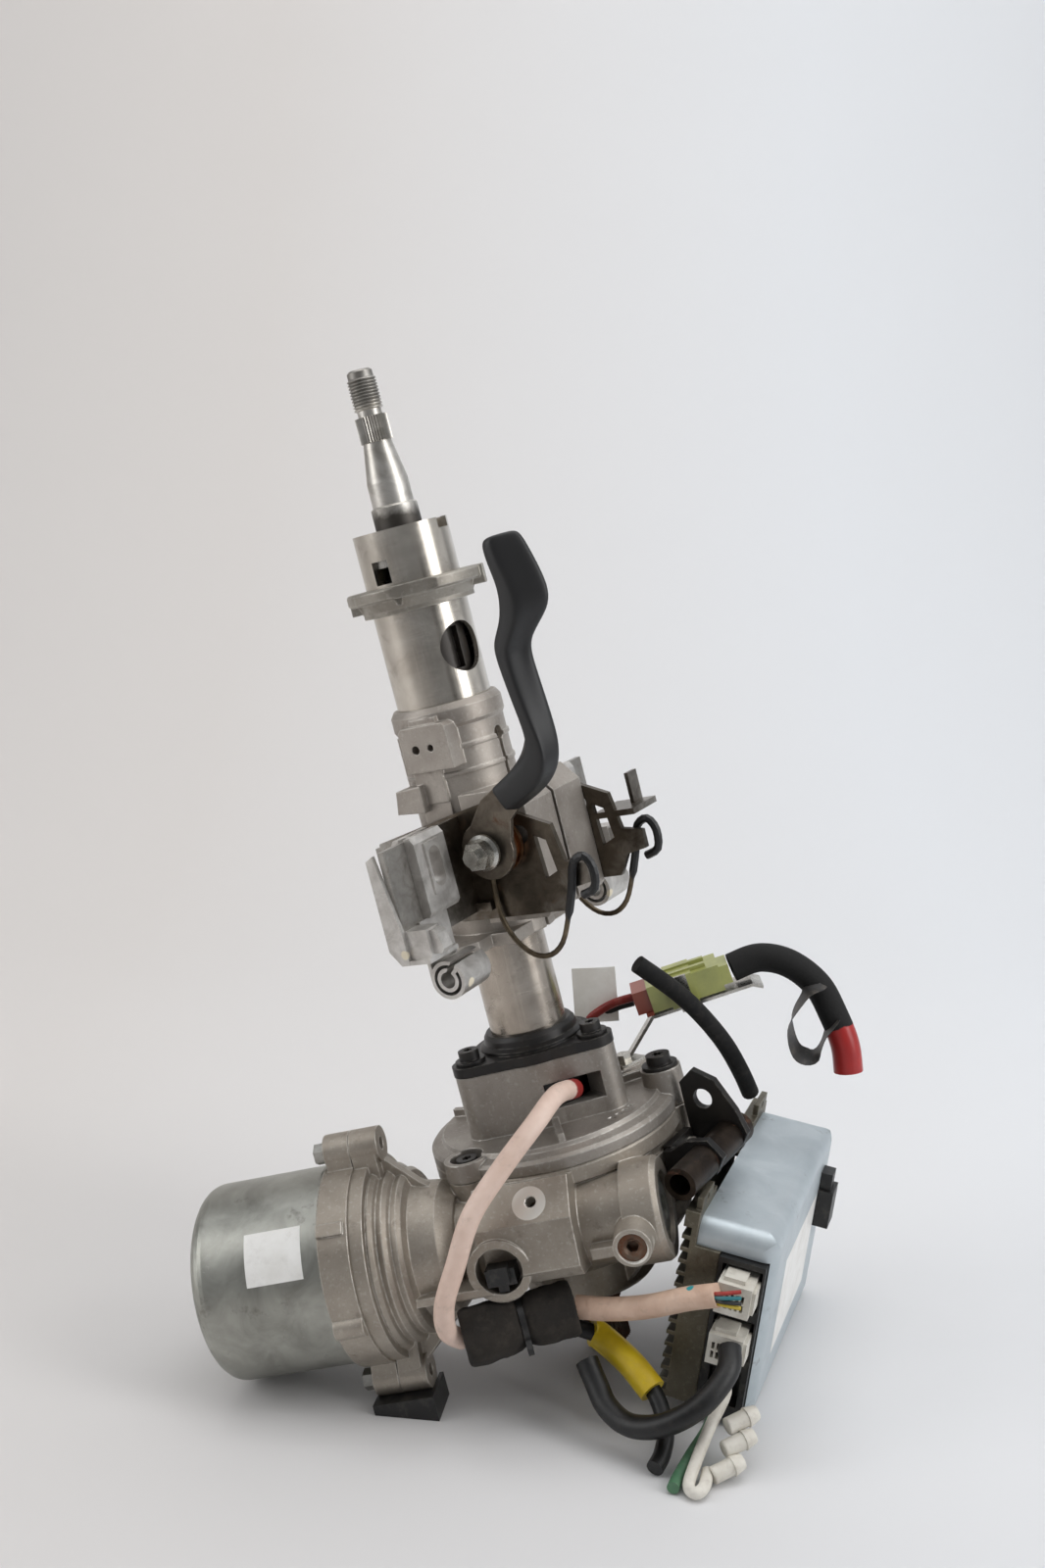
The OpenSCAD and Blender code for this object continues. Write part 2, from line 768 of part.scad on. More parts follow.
// Plastic rim with helical teeth cut to the lead of the worm
module wheel_rim()
bench() {
    n = wheel_teeth;
    step = 360 / n;
    half = (pitch_axial / 4 - backlash) / wheel_pr * 180 / PI;
    grow = 1.25 * gear_module * tan(20) / wheel_pr * 180 / PI;
    tip = gear_module * tan(20) / wheel_pr * 180 / PI;
    twist_all = rim_w * tan(lead_angle) / wheel_pr * 180 / PI;
    color([0.86, 0.83, 0.72])
    translate([0, 0, -rim_w / 2])
        difference() {
            rotate([0, 0, -90 - twist_all / 2])
                linear_extrude(height = rim_w, twist = -twist_all, slices = 5)
                    polygon([for (i = [0 : n - 1]) each
                        [for (k = [[-half - grow, wheel_root], [-half, wheel_pr], [-half + tip, wheel_tip],
                            [half - tip, wheel_tip], [half, wheel_pr], [half + grow, wheel_root]])
                            let (a = i * step + k[0]) [k[1] * cos(a), k[1] * sin(a)]]]);
            translate([0, 0, -1])
                linear_extrude(height = rim_w + 2)
                    polygon(star(18, rim_bore, rim_bore));
        }
}

// Output shaft with the bottom spline, bearing seats and the seat of the wheel hub
module output_shaft()
bench() {
    color([0.48, 0.47, 0.45])
    difference() {
        union() {
            rotate_extrude()
                polygon([[0, -86], [output_r - 2.4, -86], [output_r - 1.2, -84.6], [output_r - 1.2, -56],
                    [output_r - 2, -55], [output_r - 2, -52], [bearing_r - run_fit, -50],
                    [bearing_r - run_fit, -27], [output_r + 2, -27], [output_r + 2, 11],
                    [bearing_r - run_fit, 11], [bearing_r - run_fit, 40], [0, 40]]);
            translate([0, 0, -84])
                linear_extrude(height = 28)
                    polygon(star(output_teeth, output_r, output_r - 0.8));
        }
        translate([0, 0, -70])
            difference() {
                cylinder(r = 20, h = 7);
                cylinder(r = output_r - 1.8, h = 7);
            }
        translate([0, 0, -10])
            cylinder(r = 4.5, h = 60);
        translate([0, 0, -90])
            cylinder(r1 = 4, r2 = 1, h = 8);
    }
}

// Thin spring steel bar that joins the lower shaft to the output shaft
module torsion_bar()
bench() {
    color([0.4, 0.4, 0.42])
    rotate_extrude()
        polygon([[0, -10], [4.5, -10], [4.5, 6], [3.6, 9], [3.6, 108], [4.5, 111], [4.5, 124], [0, 124]]);
}

// Lower shaft that slides in the sleeve of the upper shaft
module lower_shaft()
bench() {
    color([0.45, 0.45, 0.46])
    difference() {
        union() {
            translate([0, 0, 40.4])
                cylinder(r = bearing_r - 0.5, h = 60);
            translate([0, 0, 100])
                cylinder(r = slider_d / 2, h = 40);
            translate([0, 0, 140])
                linear_extrude(height = 112)
                    slider_section(0);
        }
        translate([0, 0, 40])
            cylinder(r = 4.5, h = 84);
    }
}

// Threaded plug with a hex socket that loads the worm bearing
module adjuster_plug()
bench() {
    color([0.3, 0.18, 0.12])
    translate([41, -69.3, -2])
        rotate([90, 0, 0])
            difference() {
                union() {
                    cylinder(r = 6.8, h = 17.7);
                    translate([0, 0, -3.1])
                        cylinder(r = 3.5, h = 4);
                }
                translate([0, 0, 12.7])
                    cylinder(r = 3, h = 8, $fn = 6);
                translate([0, 0, 16.5])
                    cylinder(r1 = 3, r2 = 4.4, h = 1.3);
            }
}

module worm_end_cap()
bench() {
    color([0.7, 0.7, 0.7])
    motor_axis()
        difference() {
            union() {
                translate([0, 0, 46.9])
                    cylinder(r = 17, h = 5);
                translate([0, 0, 51.9])
                    cylinder(r1 = 12, r2 = 11, h = 1.4);
            }
            translate([0, 0, 50.5])
                cylinder(r = 6, h = 5);
        }
}

// Cast end shield of the motor with three ears
module motor_flange()
bench() {
    color([0.62, 0.61, 0.59])
    motor_axis()
        difference() {
            union() {
                translate([0, 0, -101])
                    cylinder(r = motor_flange_r, h = 15);
                for (a = ear_angles)
                    rotate([0, 0, 90 + a]) {
                        translate([ear_r, 0, -99])
                            cylinder(r = 8.5, h = 12.9);
                        translate([36, -8.3, -98.8])
                            cube([ear_r - 36, 16.6, 12.6]);
                    }
                rotate([0, 0, 90 + boss_angle])
                    translate([motor_flange_r - 2, 0, -100.7])
                        cylinder(r = 5.5, h = 14.4);
                for (a = [20, 60, 140, 330])
                    rotate([0, 0, 90 + a])
                        translate([motor_flange_r - 5, -3, -100.8])
                            cube([6.5, 6, 12.8]);
            }
            translate([0, 0, -102])
                cylinder(r = 15, h = 30);
            translate([0, 0, -92])
                cylinder(r = 34, h = 8);
            for (a = ear_angles)
                rotate([0, 0, 90 + a])
                    translate([ear_r, 0, -110])
                        cylinder(r = 3.2, h = 40);
        }
}

// Deep drawn steel can with a rounded closed end
module motor_can()
bench() {
    q = can_edge_r;
    color([0.55, 0.57, 0.58])
    motor_axis()
        rotate_extrude()
            polygon(concat([[0, can_end]], [for (a = [0 : 15 : 90])
                [can_r - q + q * sin(a), can_end + q - q * cos(a)]],
                [[can_r, -103.5], [can_r + 1.5, -103], [can_r + 1.5, -101], [can_r - can_t, -101],
                    [can_r - can_t, can_end + q]],
                [for (a = [75 : -15 : 0])
                    [can_r - q + (q - can_t) * sin(a), can_end + q - (q - can_t) * cos(a)]],
                [[0, can_end + can_t]]));
}

// Ring of magnet and coil iron inside the can
module motor_stator()
bench() {
    color([0.3, 0.22, 0.16])
    motor_axis()
        difference() {
            tube(can_r - can_t, 30, can_end + 14, -106);
            for (a = [0 : 30 : 330])
                rotate([0, 0, a])
                    translate([28, -2.5, can_end])
                        cube([9, 5, 80]);
        }
}

// Rotor core with its shaft, the drive cup and the tail bearing journal
module motor_rotor()
bench() {
    color([0.4, 0.4, 0.42])
    motor_axis()
        difference() {
            union() {
                translate([0, 0, can_end + 16])
                    cylinder(r = 29, h = 48);
                translate([0, 0, can_end + 5])
                    cylinder(r = 6, h = 85);
                translate([0, 0, -84])
                    cylinder(r = 12, h = 30);
            }
            translate([0, 0, -62])
                cylinder(r = 5, h = 20);
        }
}

module motor_screws()
bench() {
    color([0.62, 0.6, 0.52])
    motor_axis()
        for (a = ear_angles)
            rotate([0, 0, 90 + a])
                translate([ear_r, 0, -99])
                    rotate([180, 0, 0]) {
                        cylinder(r = 5.6, h = 1.4);
                        cylinder(r = 5.2, h = 6, $fn = 6);
                        translate([0, 0, -24])
                            cylinder(r = 3, h = 25);
                    }
}

// Rubber pad hung under the motor flange
module motor_grommet()
bench() {
    color([0.06, 0.06, 0.06])
    difference() {
        translate([-100, -83, -78])
            cube([30, 24, 18]);
        motor_axis()
            rotate([0, 0, 90 + ear_angles[1]])
                translate([0, -40, -99])
                    cube([ear_r + 8.5, 80, 27]);
        translate([-100, -71, -64.3])
            rotate([1.49, 14.61, 0])
                translate([-50, -50, -30])
                    cube([120, 100, 30]);
    }
}

// Black steel bracket bolted to the gear unit: web, two arms for the pivot tube, shelf for the control unit
module lower_bracket()
bench() {
    color([0.05, 0.05, 0.055])
    difference() {
        union() {
            side() {
                along_y(-7, 4.2)
                    polygon([[pad_v + 2, 2], [pad_v + 6, 5.5], [88, 6], [93.5, 14], [87, 23], [pad_v + 16, 23],
                        [pad_v + 6, 18], [pad_v + 2, 18]]);
                along_y(21, 4)
                    polygon([[pad_v + 3.2, -6], [pad_v + 6.3, 3], [88, 6], [93.5, 14], [90, 26], [82, 42],
                        [pad_v + 11, 48], [pad_v + 3.2, 42]]);
                along_y(-3, 23)
                    polygon([[pad_v, -9], [pad_v + 4.4, -9], [pad_v + 4.4, 19], [pad_v, 19]]);
                along_y(4, 21)
                    polygon([[pad_v, -9], [pad_v + 6.2, -9], [pad_v + 6.2, -5], [pad_v, -5]]);
                along_y(15, 9)
                    polygon([[pad_v + 2.2, -7], [pad_v + 6.2, -7], [pad_v + 6.2, 4.8], [pad_v + 2.2, 4.8]]);
            }
            unit_frame()
                translate([-cover_d - base_t - fin_h - 3, 46, -36])
                    cube([3, 66, 34]);
        }
        side() {
            translate([pivot_x, 60, pivot_z])
                rotate([90, 0, 0])
                    cylinder(r = 8, h = 140);
            translate([74, 40, 33])
                rotate([90, 0, 0])
                    cylinder(r = 5, h = 40);
            for (y = [3, 14.6])
                translate([50, y, 11])
                    rotate([0, 90, 0])
                        cylinder(r = 3.3, h = 20);
        }
    }
}

// Hex screws that hold the lower bracket on the housing pad
module bracket_bolts()
bench() {
    color([0.2, 0.19, 0.18])
    side()
        for (y = [3, 14.6])
            translate([pad_v + 4.4, y, 11])
                rotate([0, 90, 0]) {
                    cylinder(r = 5.7, h = 1.2);
                    cylinder(r = 5.2, h = 4.6, $fn = 6);
                    translate([0, 0, -13])
                        cylinder(r = 3, h = 14);
                }
}

// Steel sleeve that the pivot bolt of the car body goes through
module pivot_tube()
bench() {
    color([0.12, 0.1, 0.09])
    side()
        translate([pivot_x, 33, pivot_z])
            rotate([90, 0, 0])
                difference() {
                    cylinder(r = 8, h = 66);
                    translate([0, 0, -1])
                        cylinder(r = 5.2, h = 68);
                }
}

// Frame of the control unit: X out of the cover, Y away along its length, Z up its height
module unit_frame() {
    translate([104.6, -69, -19.4])
        rotate([-1.294, 22.21, -10.96])
            children();
}

module rounded(w, h, r) {
    translate([r, 0])
        square([w - 2 * r, h]);
    translate([0, r])
        square([w, h - 2 * r]);
    for (x = [r, w - r], y = [r, h - r])
        translate([x, y])
            circle(r = r);
}

// Rounded block standing in the unit frame, from the base side x0 out to x = -inset
module cover_form(inset) {
    q = 8 - inset;
    intersection() {
        translate([-cover_d - 1, inset, -unit_h + inset])
            rotate([90, 0, 90])
                linear_extrude(height = cover_d + 1 - inset)
                    rounded(unit_l - 2 * inset, unit_h - 2 * inset, q);
        translate([-cover_d - 20, -1, -unit_h - 1])
            linear_extrude(height = unit_h + 2)
                translate([0, inset + 1])
                    rounded(cover_d + 20 - inset, unit_l - 2 * inset, q);
        translate([-cover_d - 20, unit_l + 1, -unit_h + inset])
            rotate([90, 0, 0])
                linear_extrude(height = unit_l + 2)
                    rounded(cover_d + 20 - inset, unit_h - 2 * inset, q);
        translate([-cover_d, -10, -unit_h - 10])
            cube([cover_d + 10, unit_l + 20, unit_h + 20]);
    }
}

// Pressed zinc plated cover with the connector opening at the near end
module unit_cover()
bench() {
    color([0.62, 0.68, 0.71])
    unit_frame()
        difference() {
            union() {
                cover_form(0);
                translate([-cover_d, 6, -unit_h + 6])
                    cube([3, unit_l - 12, unit_h - 12]);
            }
            translate([-2, 0, 0])
                cover_form(2);
            translate([-cover_d - 1, 6, -unit_h + 10])
                cube([4, unit_l - 12, unit_h - 20]);
            translate([-cover_d - 1, -5, -unit_h - 2])
                cube([cover_d - 2.5, 16, unit_h - 10.5]);
        }
}

// Cast base with fins along its length
module unit_base()
bench() {
    fins = floor((unit_h - 6) / fin_pitch);
    color([0.5, 0.5, 0.5])
    unit_frame()
        difference() {
            union() {
                translate([-cover_d - base_t - fin_h, -2, -unit_h + 5])
                    cube([base_t + fin_h, unit_l + 2, unit_h - 1]);
                for (y = [11, 129])
                    translate([-cover_d - base_t, y - 10, 0])
                        cube([base_t, 20, 10]);
                translate([-cover_d - base_t, -2, -unit_h + 5])
                    cube([base_t + 11.6, 12, unit_h - 17.5]);
            }
            for (i = [0 : fins - 1])
                translate([-cover_d - base_t - fin_h - 1, -6, -unit_h + 8 + i * fin_pitch])
                    cube([fin_h + 1, unit_l + 10, fin_pitch - 2]);
            translate([-cover_d - base_t - fin_h - 1, 30, -30])
                cube([fin_h + 4, 80, 40]);
            for (y = [11, 129])
                translate([-cover_d - base_t - 10, y, 6.6])
                    rotate([0, 90, 0])
                        cylinder(r = 2.4, h = 30);
        }
}

// Circuit board with its power parts
module unit_board()
bench() {
    color([0.1, 0.32, 0.18])
    unit_frame() {
        translate([-cover_d + 6, 14, -unit_h + 12])
            cube([1.8, unit_l - 22, unit_h - 24]);
        for (y = [20, unit_l - 16], z = [-unit_h + 20, -20])
            translate([-cover_d, y, z])
                rotate([0, 90, 0])
                    cylinder(r = 3, h = 6.5);
        for (p = [[40, -40], [40, -66], [74, -40], [74, -66], [104, -52]])
            translate([-cover_d + 7.8, p[0], p[1]])
                rotate([0, 90, 0])
                    cylinder(r = 8, h = 16);
    }
}

// Black header with the sockets for the two plugs and the power pegs
module unit_header()
bench() {
    color([0.07, 0.07, 0.08])
    unit_frame()
        difference() {
            translate([-26, -4, -unit_h + 4])
                cube([22, 15, unit_h - 17]);
            for (p = [[-24, -35.6, 19, 20], [-24, -61.4, 19, 20], [-22, -86, 15, 18]])
                translate([p[0], -6, p[1]])
                    cube([p[2], 12, p[3]]);
        }
}

// White plug body with a latch frame and rows of wire seats
module plug_body(w, h, rows) {
    difference() {
        cube([w, 22, h]);
        for (i = [0 : rows - 1], k = [0, 1])
            translate([2 + i * (w - 4) / rows, -1, 3 + k * (h - 8) / 2 + k])
                cube([(w - 4) / rows - 1, 7, (h - 8) / 2]);
    }
    translate([w, 2, 2])
        cube([1.6, 12, h - 4]);
    translate([2, 3, h])
        cube([w - 6, 10, 2]);
}

// White plug above and grey plug with its lock below
module unit_plugs()
bench() {
    color([0.8, 0.81, 0.8])
    unit_frame() {
        for (z = [-34, -60])
            translate([-23, -16, z])
                plug_body(16, 15, 5);
        translate([-14, -18, -56])
            cube([3.6, 4, 8]);
    }
}

// White insulated terminals of the loose wires, lying in front of the control unit
module wire_pegs() {
    for (q = peg_places)
        translate(q)
            rotate([0, 78, 24]) {
                translate([0, 0, -7])
                    cylinder(r = 4, h = 10);
                translate([0, 0, 3])
                    cylinder(r1 = 4.6, r2 = 3.4, h = 6);
            }
}

// Small capped connector on the outer face
module side_plug()
bench() {
    color([0.1, 0.1, 0.1])
    unit_frame() {
        translate([0, 112, -44])
            cube([8, 15, 20]);
        translate([0, 114, -24])
            cube([6, 10, 9]);
    }
}

// Frame of the power connector beside the column
module plug_frame() {
    translate([72.6, 46.4, 76.2])
        rotate([3.75, -4.98, 8.24])
            children();
}

module power_connector()
bench() {
    color([0.62, 0.66, 0.36])
    connector_lock();
    color([0.62, 0.66, 0.36])
    plug_frame()
        difference() {
            union() {
                translate([-18, -10, -7])
                    cube([38, 20, 14]);
                translate([-8, -11.5, -8])
                    cube([14, 23, 16]);
                translate([20, -8, -5])
                    cube([5, 16, 10]);
                for (y = [-6, 3])
                    translate([-14, y, 7])
                        cube([28, 3, 2]);
            }
            for (y = [-4.6, 4.6])
                translate([26, y, 0])
                    rotate([0, -90, 0])
                        cylinder(r = 3, h = 16);
        }
}

// Slide lock pushed into the connector from the near end
module connector_lock() {
    plug_frame() {
        translate([-26, -9, -6])
            cube([8, 18, 12]);
        translate([-22, -10, -8])
            cube([4, 20, 2]);
    }
}

// Zinc plated sheet clip that carries the connector on the cover
module connector_bracket()
bench() {
    color([0.7, 0.7, 0.68])
    union() {
        plug_frame() {
            translate([-19, -9, -10.2])
                cube([53, 18, 1.6]);
            translate([33, -8.6, -10])
                rotate([0, 30, 0])
                    cube([6, 17.2, 1.4]);
            translate([-4, -13.4, -10.2])
                cube([7, 1.6, 19]);
            translate([-4, -13.4, -10.2])
                cube([7, 6, 1.6]);
        }
        rotate([0, 0, 45])
            translate([43, -8, 44])
                cube([16, 16, 1.6]);
        translate([38, 37.5, 44.2])
            rotate([0, -47, 8])
                cube([29.6, 9, 1.6]);
        rotate([0, 0, 45])
            translate([50, 0, 45.6])
                cylinder(r = 4.4, h = 3.5, $fn = 6);
        rotate([0, 0, 45])
            translate([50, 0, 34])
                cylinder(r = 2.5, h = 12);
    }
}

// Black clip in the cable loop
module harness_clip()
bench() {
    color([0.04, 0.04, 0.04])
    translate([-22, -78, -3]) {
        translate([-7, -9, -7])
            cube([14, 9, 8]);
        translate([-4.5, -12, -5])
            cube([9, 4, 8]);
        translate([-2.5, -8, -10.4])
            cube([5, 6, 4]);
    }
}

// Arc slot about the tilt pivot, drawn in X and Z of the side frame
module tilt_slot(r) {
    reach = sqrt(pow(pivot_x - bolt_x, 2) + pow(bolt_z - pivot_z, 2));
    start = atan2(bolt_z - pivot_z, bolt_x - pivot_x);
    steps = 8;
    points = [for (i = [0 : steps]) start + tilt_in - i * (tilt_in + tilt_out) / steps];
    polygon(concat(
        [for (a = points) [pivot_x + (reach + r) * cos(a), pivot_z + (reach + r) * sin(a)]],
        [for (i = [steps : -1 : 0]) [pivot_x + (reach - r) * cos(points[i]),
            pivot_z + (reach - r) * sin(points[i])]]));
    for (a = [points[0], points[steps]])
        translate([pivot_x + reach * cos(a), pivot_z + reach * sin(a)])
            circle(r = r);
}

module cheek() {
    difference() {
        polygon([[-41, 156], [-38, 190], [8, 199], [24, 202], [42, 196], [60, 188], [63, 170], [74, 168],
            [74, 159], [63, 157], [57, 147], [0, 147]]);
        tilt_slot(bolt_r + free_gap);
        polygon([[50, 184], [56, 181], [58, 166], [51, 163]]);
        polygon([[-30, 160], [-30, 182], [-8, 186], [-8, 158]]);
    }
}

// Pressed steel bracket: two cheeks with tilt slots, back web and two wings for the capsules
module tilt_bracket()
bench() {
    wing = bracket_t;
    color([0.33, 0.3, 0.26])
    side()
    difference() {
        union() {
            along_y(-cheek_y - bracket_t, bracket_t)
                cheek();
            along_y(cheek_y, bracket_t)
                cheek();
            translate([-41, -cheek_y - bracket_t, 158])
                cube([bracket_t, cheek_gap + 2 * bracket_t, 30]);
            for (s = [-1, 1])
                scale([1, s, 1]) {
                    translate([8, cheek_y, 152])
                        cube([wing, 64, 46]);
                    translate([8, cheek_y, 152])
                        cube([12, bracket_t + 4, 4]);
                }
            // bent shelf of the far cheek
            translate([50, cheek_y, 176])
                cube([22, 24, bracket_t]);
            translate([64, cheek_y + 13, 176])
                cube([2, 9, 18]);
        }
        // open slots that the capsules sit in
        for (s = [-1, 1])
            scale([1, s, 1])
                translate([0, 56, 168])
                    cube([20, 12, 40]);
    }
}

// Cast capsules that shear out of the wings in a crash, with the mounting slot
module mount_capsules()
bench() {
    color([0.6, 0.6, 0.58])
    side()
    for (s = [-1, 1])
        scale([1, s, 1])
            difference() {
                union() {
                    along_y(50, 24)
                        polygon([[11, 162], [14.5, 162], [16, 164], [16, 196], [14, 199], [11, 199]]);
                    translate([15, 56, 171])
                        cube([2.2, 12, 24]);
                    along_y(50, 24)
                        polygon([[8, 162], [8, 199], [5, 199], [3, 196], [3, 164], [4.5, 162]]);
                    translate([7.5, 56, 168])
                        cube([4, 12, 30.5]);
                    translate([11, 80, 148])
                        cube([12, cheek_y - 16, 13]);
                    along_y(81, 7)
                        polygon([[22, 149], [27, 149], [28.5, 151], [27, 158], [25, 160], [22, 160]]);
                }
                for (z = [178, 188])
                    translate([0, 62, z])
                        rotate([0, 90, 0])
                            cylinder(r = 4.4, h = 40);
                translate([0, 57.6, 178])
                    cube([40, 8.8, 10]);
            }
}

// Curled steel strips that unroll to absorb energy
module energy_strips()
bench() {
    r = curl_d / 2;
    color([0.4, 0.39, 0.37])
    side()
    for (s = [-1, 1])
        scale([1, s, 1]) {
            translate([11 + r, 80, 134])
                rotate([90, 0, 0])
                    difference() {
                        union() {
                            tube(r, r - 1.8, 0, 22);
                            tube(r - 3.4, r - 5.2, 0, 22);
                            rotate([0, 0, 40])
                                translate([r - 5, -1, 0])
                                    cube([4, 1.8, 22]);
                        }
                        rotate([0, 0, 50])
                            translate([r - 6, 0, -1])
                                cube([8, 2.4, 24]);
                    }
            translate([11, 58, 134])
                cube([1.8, 22, 28]);
            along_y(cheek_y + 64, 2.2)
                polygon([[2, 153], [7, 146], [11.5, 146], [11.5, 161], [6, 197], [2, 195]]);
            translate([11, 70, 146])
                cube([12, cheek_y - 4, 2]);
        }
}

// Unit vectors for sweeping a tube along points
function along(p, i) = let (a = p[max(i - 1, 0)], b = p[min(i + 1, len(p) - 1)], d = b - a) d / norm(d);

function first_side(t) = let (u = abs(t[2]) < 0.8 ? [0, 0, 1] : [1, 0, 0], s = cross(t, u)) s / norm(s);

function sides(p, i = 0, last = [0, 0, 0], out = []) =
    i == len(p) ? out :
    let (t = along(p, i), s = i == 0 ? first_side(t) : last - t * (last * t), n = s / norm(s))
        sides(p, i + 1, n, concat(out, [n]));

// Closed round tube along points, n sides, one radius for each point
module swept(p, radii, n) {
    s = sides(p);
    k = len(p);
    points = [for (i = [0 : k - 1])
        let (t = along(p, i), a = s[i], b = cross(t, a))
            for (j = [0 : n - 1])
                p[i] + radii[i] * (cos(j * 360 / n) * a + sin(j * 360 / n) * b)];
    faces = concat([[for (j = [0 : n - 1]) j]], [[for (j = [n - 1 : -1 : 0]) (k - 1) * n + j]],
        [for (i = [0 : k - 2], j = [0 : n - 1])
            [i * n + j, (i + 1) * n + j, (i + 1) * n + (j + 1) % n, i * n + (j + 1) % n]]);
    polyhedron(points = points, faces = faces, convexity = 6);
}

// Points on a smooth curve through a route, a given number of steps per stretch
function spot(a, b, c, d, t) = 0.5 * (2 * b + (c - a) * t + (2 * a - 5 * b + 4 * c - d) * t * t
    + (3 * b - a - 3 * c + d) * t * t * t);

function smooth(p, steps) = let (n = len(p)) concat([for (i = [0 : n - 2], j = [0 : steps - 1])
    spot(p[max(i - 1, 0)], p[i], p[i + 1], p[min(i + 2, n - 1)], j / steps)], [p[n - 1]]);

module cord(route, r, n, steps) {
    points = smooth(route, steps);
    swept(points, [for (q = points) r], n);
}

// Foam tube wrapped around the joint of the sensor lead, in two pieces
module foam_wrap() {
    color([0.13, 0.11, 0.1])
    translate([-31, -80, 46])
        rotate([0, 76.9, 8.7]) {
            cylinder(r = 13.5, h = 27);
            translate([0, 0, 27])
                cylinder(r = 10.5, h = 3);
            translate([0, 0, 30])
                cylinder(r = 13, h = 23.6);
        }
}

module cable_tie() {
    color([0.03, 0.03, 0.03])
    translate([-31, -80, 46])
        rotate([0, 76.9, 8.7]) {
            tube(11.7, 10.5, 27.1, 29.9);
            rotate([0, 0, -60])
                translate([11, -3, 27.1])
                    cube([5, 6, 2.8]);
        }
}

module sensor_cable() {
    color([0.84, 0.7, 0.66])
        cord(sensor_route, 4.8, 10, 2);
}

module unit_sleeve() {
    color([0.8, 0.7, 0.62])
        cord(sleeve_route, 5.6, 10, 2);
}

module loop_cable() {
    color([0.05, 0.05, 0.05])
        cord(loop_route, 5.4, 10, 2);
}

module motor_lead() {
    color([0.06, 0.06, 0.06])
        cord(motor_route, 4, 8, 2);
}

// Two loose wires and the insulated terminals beside them
module loose_wires() {
    color([0.7, 0.72, 0.66]) {
        cord(white_route, 2.8, 8, 2);
        cord(green_route, 2.8, 8, 2);
        wire_pegs();
    }
}

module power_lead() {
    color([0.75, 0.75, 0.72])
        cord(power_route, 5, 8, 2);
}

module taped_lead() {
    color([0.05, 0.05, 0.05])
        cord(taped_route, 7.4, 10, 2);
}

module control_lead() {
    color([0.04, 0.04, 0.04])
        cord(control_route, 4.6, 8, 2);
}

// Two bent wire springs with coated hooks over the tabs of the cheeks
module tilt_springs()
bench() {
    w = spring_wire / 2;
    y0 = cheek_y + bracket_t + w + 1.2;
    path = [[24, 168], [23, 158], [23.5, 147], [28, 136], [36, 128.5], [45, 127.5], [53, 133], [59, 144],
        [63, 153], [66, 161], [69, 169.5], [75, 172], [78.5, 166], [77, 157], [70, 154]];
    radii = [for (i = [0 : 42]) i < 22 ? w : w + 0.8];
    color([0.16, 0.14, 0.12])
    side()
    for (s = [-1, 1])
        swept(smooth([for (q = path) [q[0], s * y0, q[1]]], 3), radii, 8);
}

// Clamp bolt with its head behind the far cheek
module clamp_bolt()
bench() {
    color([0.5, 0.49, 0.46])
    clamp_nut();
    color([0.5, 0.49, 0.46])
    side()
        translate([bolt_x, 0, bolt_z])
            rotate([90, 0, 0]) {
                translate([0, 0, -cheek_y - bracket_t - free_gap - 6.5])
                    cylinder(r = 7.2, h = 6.5, $fn = 6);
                translate([0, 0, -cheek_y - bracket_t - free_gap - 1])
                    cylinder(r = bolt_r, h = 2 * cheek_y + 30 + bracket_t + free_gap);
            }
}

// Collar nut on the lever end of the clamp bolt
module clamp_nut() {
    y = cheek_y + bracket_t + 14;
    side()
        translate([bolt_x, 0, bolt_z])
            rotate([90, 0, 0])
                difference() {
                    union() {
                        translate([0, 0, y])
                            cylinder(r = 8.6, h = 1.6);
                        translate([0, 0, y + 1.6])
                            cylinder(r1 = 8.6, r2 = 7.2, h = 1.4);
                        translate([0, 0, y + 1.6])
                            cylinder(r = 7.2, h = 6.4, $fn = 6);
                    }
                    translate([0, 0, y - 1])
                        cylinder(r = bolt_r, h = 20);
                }
}

// Cam disc that slides on the cheek and does not turn
module fixed_cam()
bench() {
    y = cheek_y + bracket_t + free_gap;
    color([0.4, 0.27, 0.17])
    side()
        translate([bolt_x, 0, bolt_z])
            rotate([90, 0, 0])
                difference() {
                    union() {
                        translate([0, 0, y])
                            cylinder(r = cam_r, h = 2.4);
                        translate([0, 0, y + 2.4])
                            cylinder(r = cam_r - 2, h = 1.6);
                    }
                    translate([0, 0, y - 1])
                        cylinder(r = bolt_r, h = 20);
                }
}

// Cam disc that turns with the lever
module lever_cam()
bench() {
    y = cheek_y + bracket_t + free_gap + 4.4;
    color([0.45, 0.3, 0.19])
    side()
        translate([bolt_x, 0, bolt_z])
            rotate([90, 0, 0])
                difference() {
                    union() {
                        translate([0, 0, y])
                            cylinder(r = cam_r - 2, h = 1.4);
                        translate([0, 0, y + 1.4])
                            cylinder(r = cam_r, h = 2.2);
                    }
                    translate([0, 0, y - 1])
                        cylinder(r = bolt_r + run_fit, h = 20);
                }
}

// Side outline of the lever arm: round eye about the bolt and a straight arm
module lever_outline() {
    polygon(concat([for (a = [115 : 15 : 370]) [bolt_x + (cam_r + 1) * cos(a), bolt_z + (cam_r + 1) * sin(a)]],
        [[52, 198], [66, 218], [60, 226], [41, 214]]));
}

// Steel lever arm between the cam and the nut
module lever_plate()
bench() {
    y = cheek_y + bracket_t + free_gap + 8;
    color([0.36, 0.35, 0.33])
    side()
        along_y(-y - 3, 3)
            difference() {
                lever_outline();
                translate([bolt_x, bolt_z])
                    circle(r = bolt_r + run_fit);
            }
}

